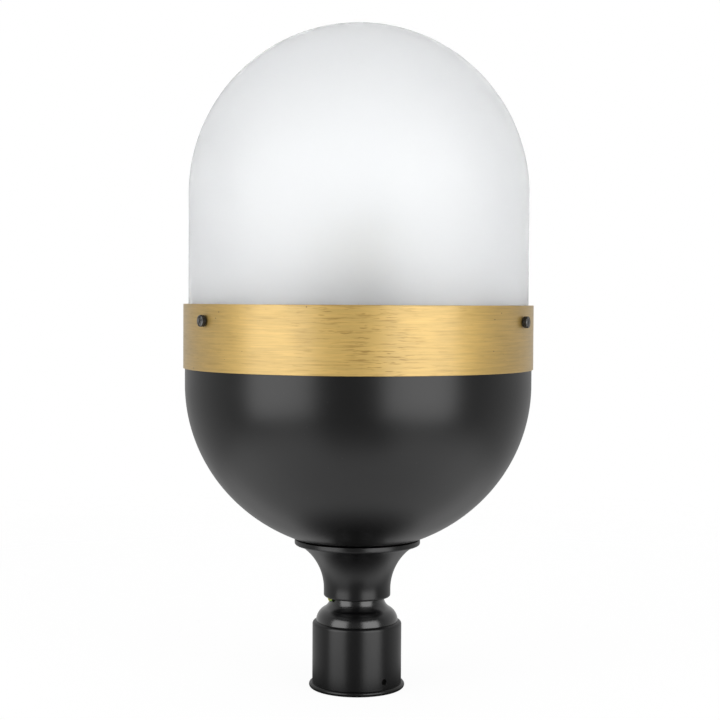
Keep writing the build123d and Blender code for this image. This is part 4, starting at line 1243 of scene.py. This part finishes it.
class POSTLIGHT_OT_stage(PieceOperator, bpy.types.Operator):
    """Camera, soft boxes, white surroundings and the pale floor"""

    bl_idname = "postlight.stage"
    bl_label = "Stage"

    def execute(self, context):
        scene = context.scene
        t = scene.post_light_stage
        scene.view_settings.view_transform = "Standard"
        self.surroundings(scene, t)
        self.floor(scene)
        for name, details in LAMPS.items():
            self.lamp(scene, name, t.lamp_strength, **details)
        self.camera(scene, t)
        return {"FINISHED"}

    def surroundings(self, scene, t):
        """White to the camera and through glass, even for diffuse light, and a room in gloss.

        The room is dim in front and darker upwards, and paler behind. The table below is brightest
        towards the lamps, and fades towards the foot and behind the light.
        """
        world = bpy.data.worlds.new("surroundings")
        scene.world = world
        world.use_nodes = True
        w = Nodes(world.node_tree)
        way = w.node("ShaderNodeTexCoord", output="Generated")
        aside, depth, height = (w.part(way, axis) for axis in "XYZ")
        seen, gloss, through = (w.ray(kind) for kind in ("Camera", "Glossy", "Transmission"))
        front = w.ease(height, 0.15, 0.7, t.room_front, 0.25 * t.room_front)
        room = w.ease(depth, -0.5, 0.4, front, t.room_back)
        near_lamps = w.ease(abs(aside), 0.2, 0.55)
        table = w.ease(height - 0.22 * near_lamps, -0.45, -0.83, 0.0, t.room_below)
        table = table * w.ease(height, -0.6, -0.98, 1.0, 0.72) * w.ease(depth, 0.0, 0.4, 1.0, 0.7)
        room = room.highest(table)
        plain = (1 - seen) * (1 - gloss) * (1 - through)
        strength = seen.highest(through) + gloss * room + plain * t.ambient
        light = w.node("ShaderNodeBackground", {}, {"Color": WHITE, "Strength": strength})
        w.node("ShaderNodeOutputWorld", {}, {"Surface": light}, output=None)

    def floor(self, scene):
        """Round floor that keeps a soft shadow and fades into the white surroundings.

        In gloss only a dark patch round the foot shows, a painted shadow under the light, and from below the
        floor is clear.
        """
        f = Finish("pale_floor")
        seen, gloss, through = (f.ray(kind) for kind in ("Camera", "Glossy", "Transmission"))
        reach = f.reach(f.place())
        cloud = f.noise(f.place(), 3.0)
        pale = f.blend(cloud, (0.86, 0.86, 0.86), (0.88, 0.88, 0.88))
        # Painted shadow: glossy rays see the floor dark round the foot, fading out further away.
        pale = f.blend(gloss, pale, (0.17, 0.17, 0.17))
        matt = f.node("ShaderNodeBsdfDiffuse", {}, {"Color": pale})
        white = f.node("ShaderNodeEmission", {}, {"Color": WHITE, "Strength": 1.04})
        clear = f.node("ShaderNodeBsdfTransparent")
        lit = f.node("ShaderNodeMixShader", {}, {0: 0.9 * seen.highest(through), 1: matt, 2: white})
        under = f.part(f.node("ShaderNodeNewGeometry", output="Normal"), "Z") < 0.0
        fade = f.ease(reach, 0.7, 1.5).highest(gloss * f.ease(reach, 0.03, 0.15)).highest(under)
        faded = f.node("ShaderNodeMixShader", {}, {0: fade, 1: lit, 2: clear})
        f.node("ShaderNodeOutputMaterial", {}, {"Surface": faded}, output=None)
        bottom, top = FLOOR_BOTTOM, FLOOR_TOP
        outline = [[0, bottom], [FLOOR_RADIUS, bottom], [FLOOR_RADIUS, top], [0, top]]
        shape = turned(np.array(outline), SMALL_TURNS)
        floor = bpy.data.objects.new("floor", mesh_of("floor", shape))
        floor.data.materials.append(f.material)
        scene.collection.objects.link(floor)

    def lamp(self, scene, name, strength, turn, size, height, gain):
        """Tall soft box turned that many degrees to the right of the camera, facing the axis."""
        data = bpy.data.lights.new(name, "AREA")
        data.shape = "RECTANGLE"
        data.size, data.size_y = size
        data.energy = gain * strength * math.pi * size[0] * size[1]
        lamp = bpy.data.objects.new(name, data)
        scene.collection.objects.link(lamp)
        way = Vector((math.sin(math.radians(turn)), -math.cos(math.radians(turn)), 0))
        lamp.location = LAMP_DISTANCE * way + Vector((0, 0, height))
        lamp.rotation_euler = way.to_track_quat("Z", "Y").to_euler()

    def camera(self, scene, t):
        """Camera at eye height, aimed at the middle of the picture."""
        data = bpy.data.cameras.new("camera")
        data.sensor_width = SENSOR_WIDTH
        data.lens = t.focus_pixels * SENSOR_WIDTH / PHOTO_WIDTH
        camera = bpy.data.objects.new("camera", data)
        scene.collection.objects.link(camera)
        camera.location = (t.aside, -t.distance, t.eye_height)
        way = Vector((t.aside, 0, t.aim_height)) - camera.location
        turn = way.to_track_quat("-Z", "Y").to_matrix() @ Matrix.Rotation(t.roll, 3, "Z")
        camera.rotation_euler = turn.to_euler()
        scene.camera = camera


class POSTLIGHT_PT_panel(bpy.types.Panel):
    """Lists the operators and the sizes and colours that they use"""

    bl_idname = "POSTLIGHT_PT_panel"
    bl_label = "Post light"
    bl_space_type = "VIEW_3D"
    bl_region_type = "UI"
    bl_category = "Post light"

    def draw(self, context):
        for operator in OPERATORS:
            self.layout.operator(operator.bl_idname)
        for name in GROUPS:
            box = self.layout.box()
            group = getattr(context.scene, name)
            for key in group.bl_rna.properties.keys():
                if key not in ("rna_type", "name"):
                    box.prop(group, key)


GROUPS = {
    "post_light_neck": PostLightNeckSizes,
    "post_light_body": PostLightBodySizes,
    "post_light_lamps": PostLightLampSizes,
    "post_light_finishes": PostLightFinishes,
    "post_light_stage": PostLightStage,
}
OPERATORS = (
    POSTLIGHT_OT_stage,
    POSTLIGHT_OT_fittings,
    POSTLIGHT_OT_sleeve,
    POSTLIGHT_OT_grub_screws,
    POSTLIGHT_OT_cap,
    POSTLIGHT_OT_bell,
    POSTLIGHT_OT_saucer,
    POSTLIGHT_OT_bowl,
    POSTLIGHT_OT_band,
    POSTLIGHT_OT_glass,
    POSTLIGHT_OT_glass_screws,
    POSTLIGHT_OT_rod,
    POSTLIGHT_OT_sockets,
    POSTLIGHT_OT_bulbs,
)


def register():
    """Registers the classes and hangs the property groups on the scene."""
    for group in GROUPS.values():
        bpy.utils.register_class(group)
    for operator in OPERATORS:
        bpy.utils.register_class(operator)
    bpy.utils.register_class(POSTLIGHT_PT_panel)
    for name, group in GROUPS.items():
        setattr(bpy.types.Scene, name, bpy.props.PointerProperty(type=group))


def unregister():
    """Takes the property groups off the scene and unregisters the classes."""
    for name in GROUPS:
        delattr(bpy.types.Scene, name)
    bpy.utils.unregister_class(POSTLIGHT_PT_panel)
    for kind in (*reversed(OPERATORS), *reversed(GROUPS.values())):
        bpy.utils.unregister_class(kind)


def main():
    """Builds every piece in order."""
    register()
    for operator in OPERATORS:
        group, name = operator.bl_idname.split(".")
        getattr(getattr(bpy.ops, group), name)()


if __name__ == "__main__":
    main()
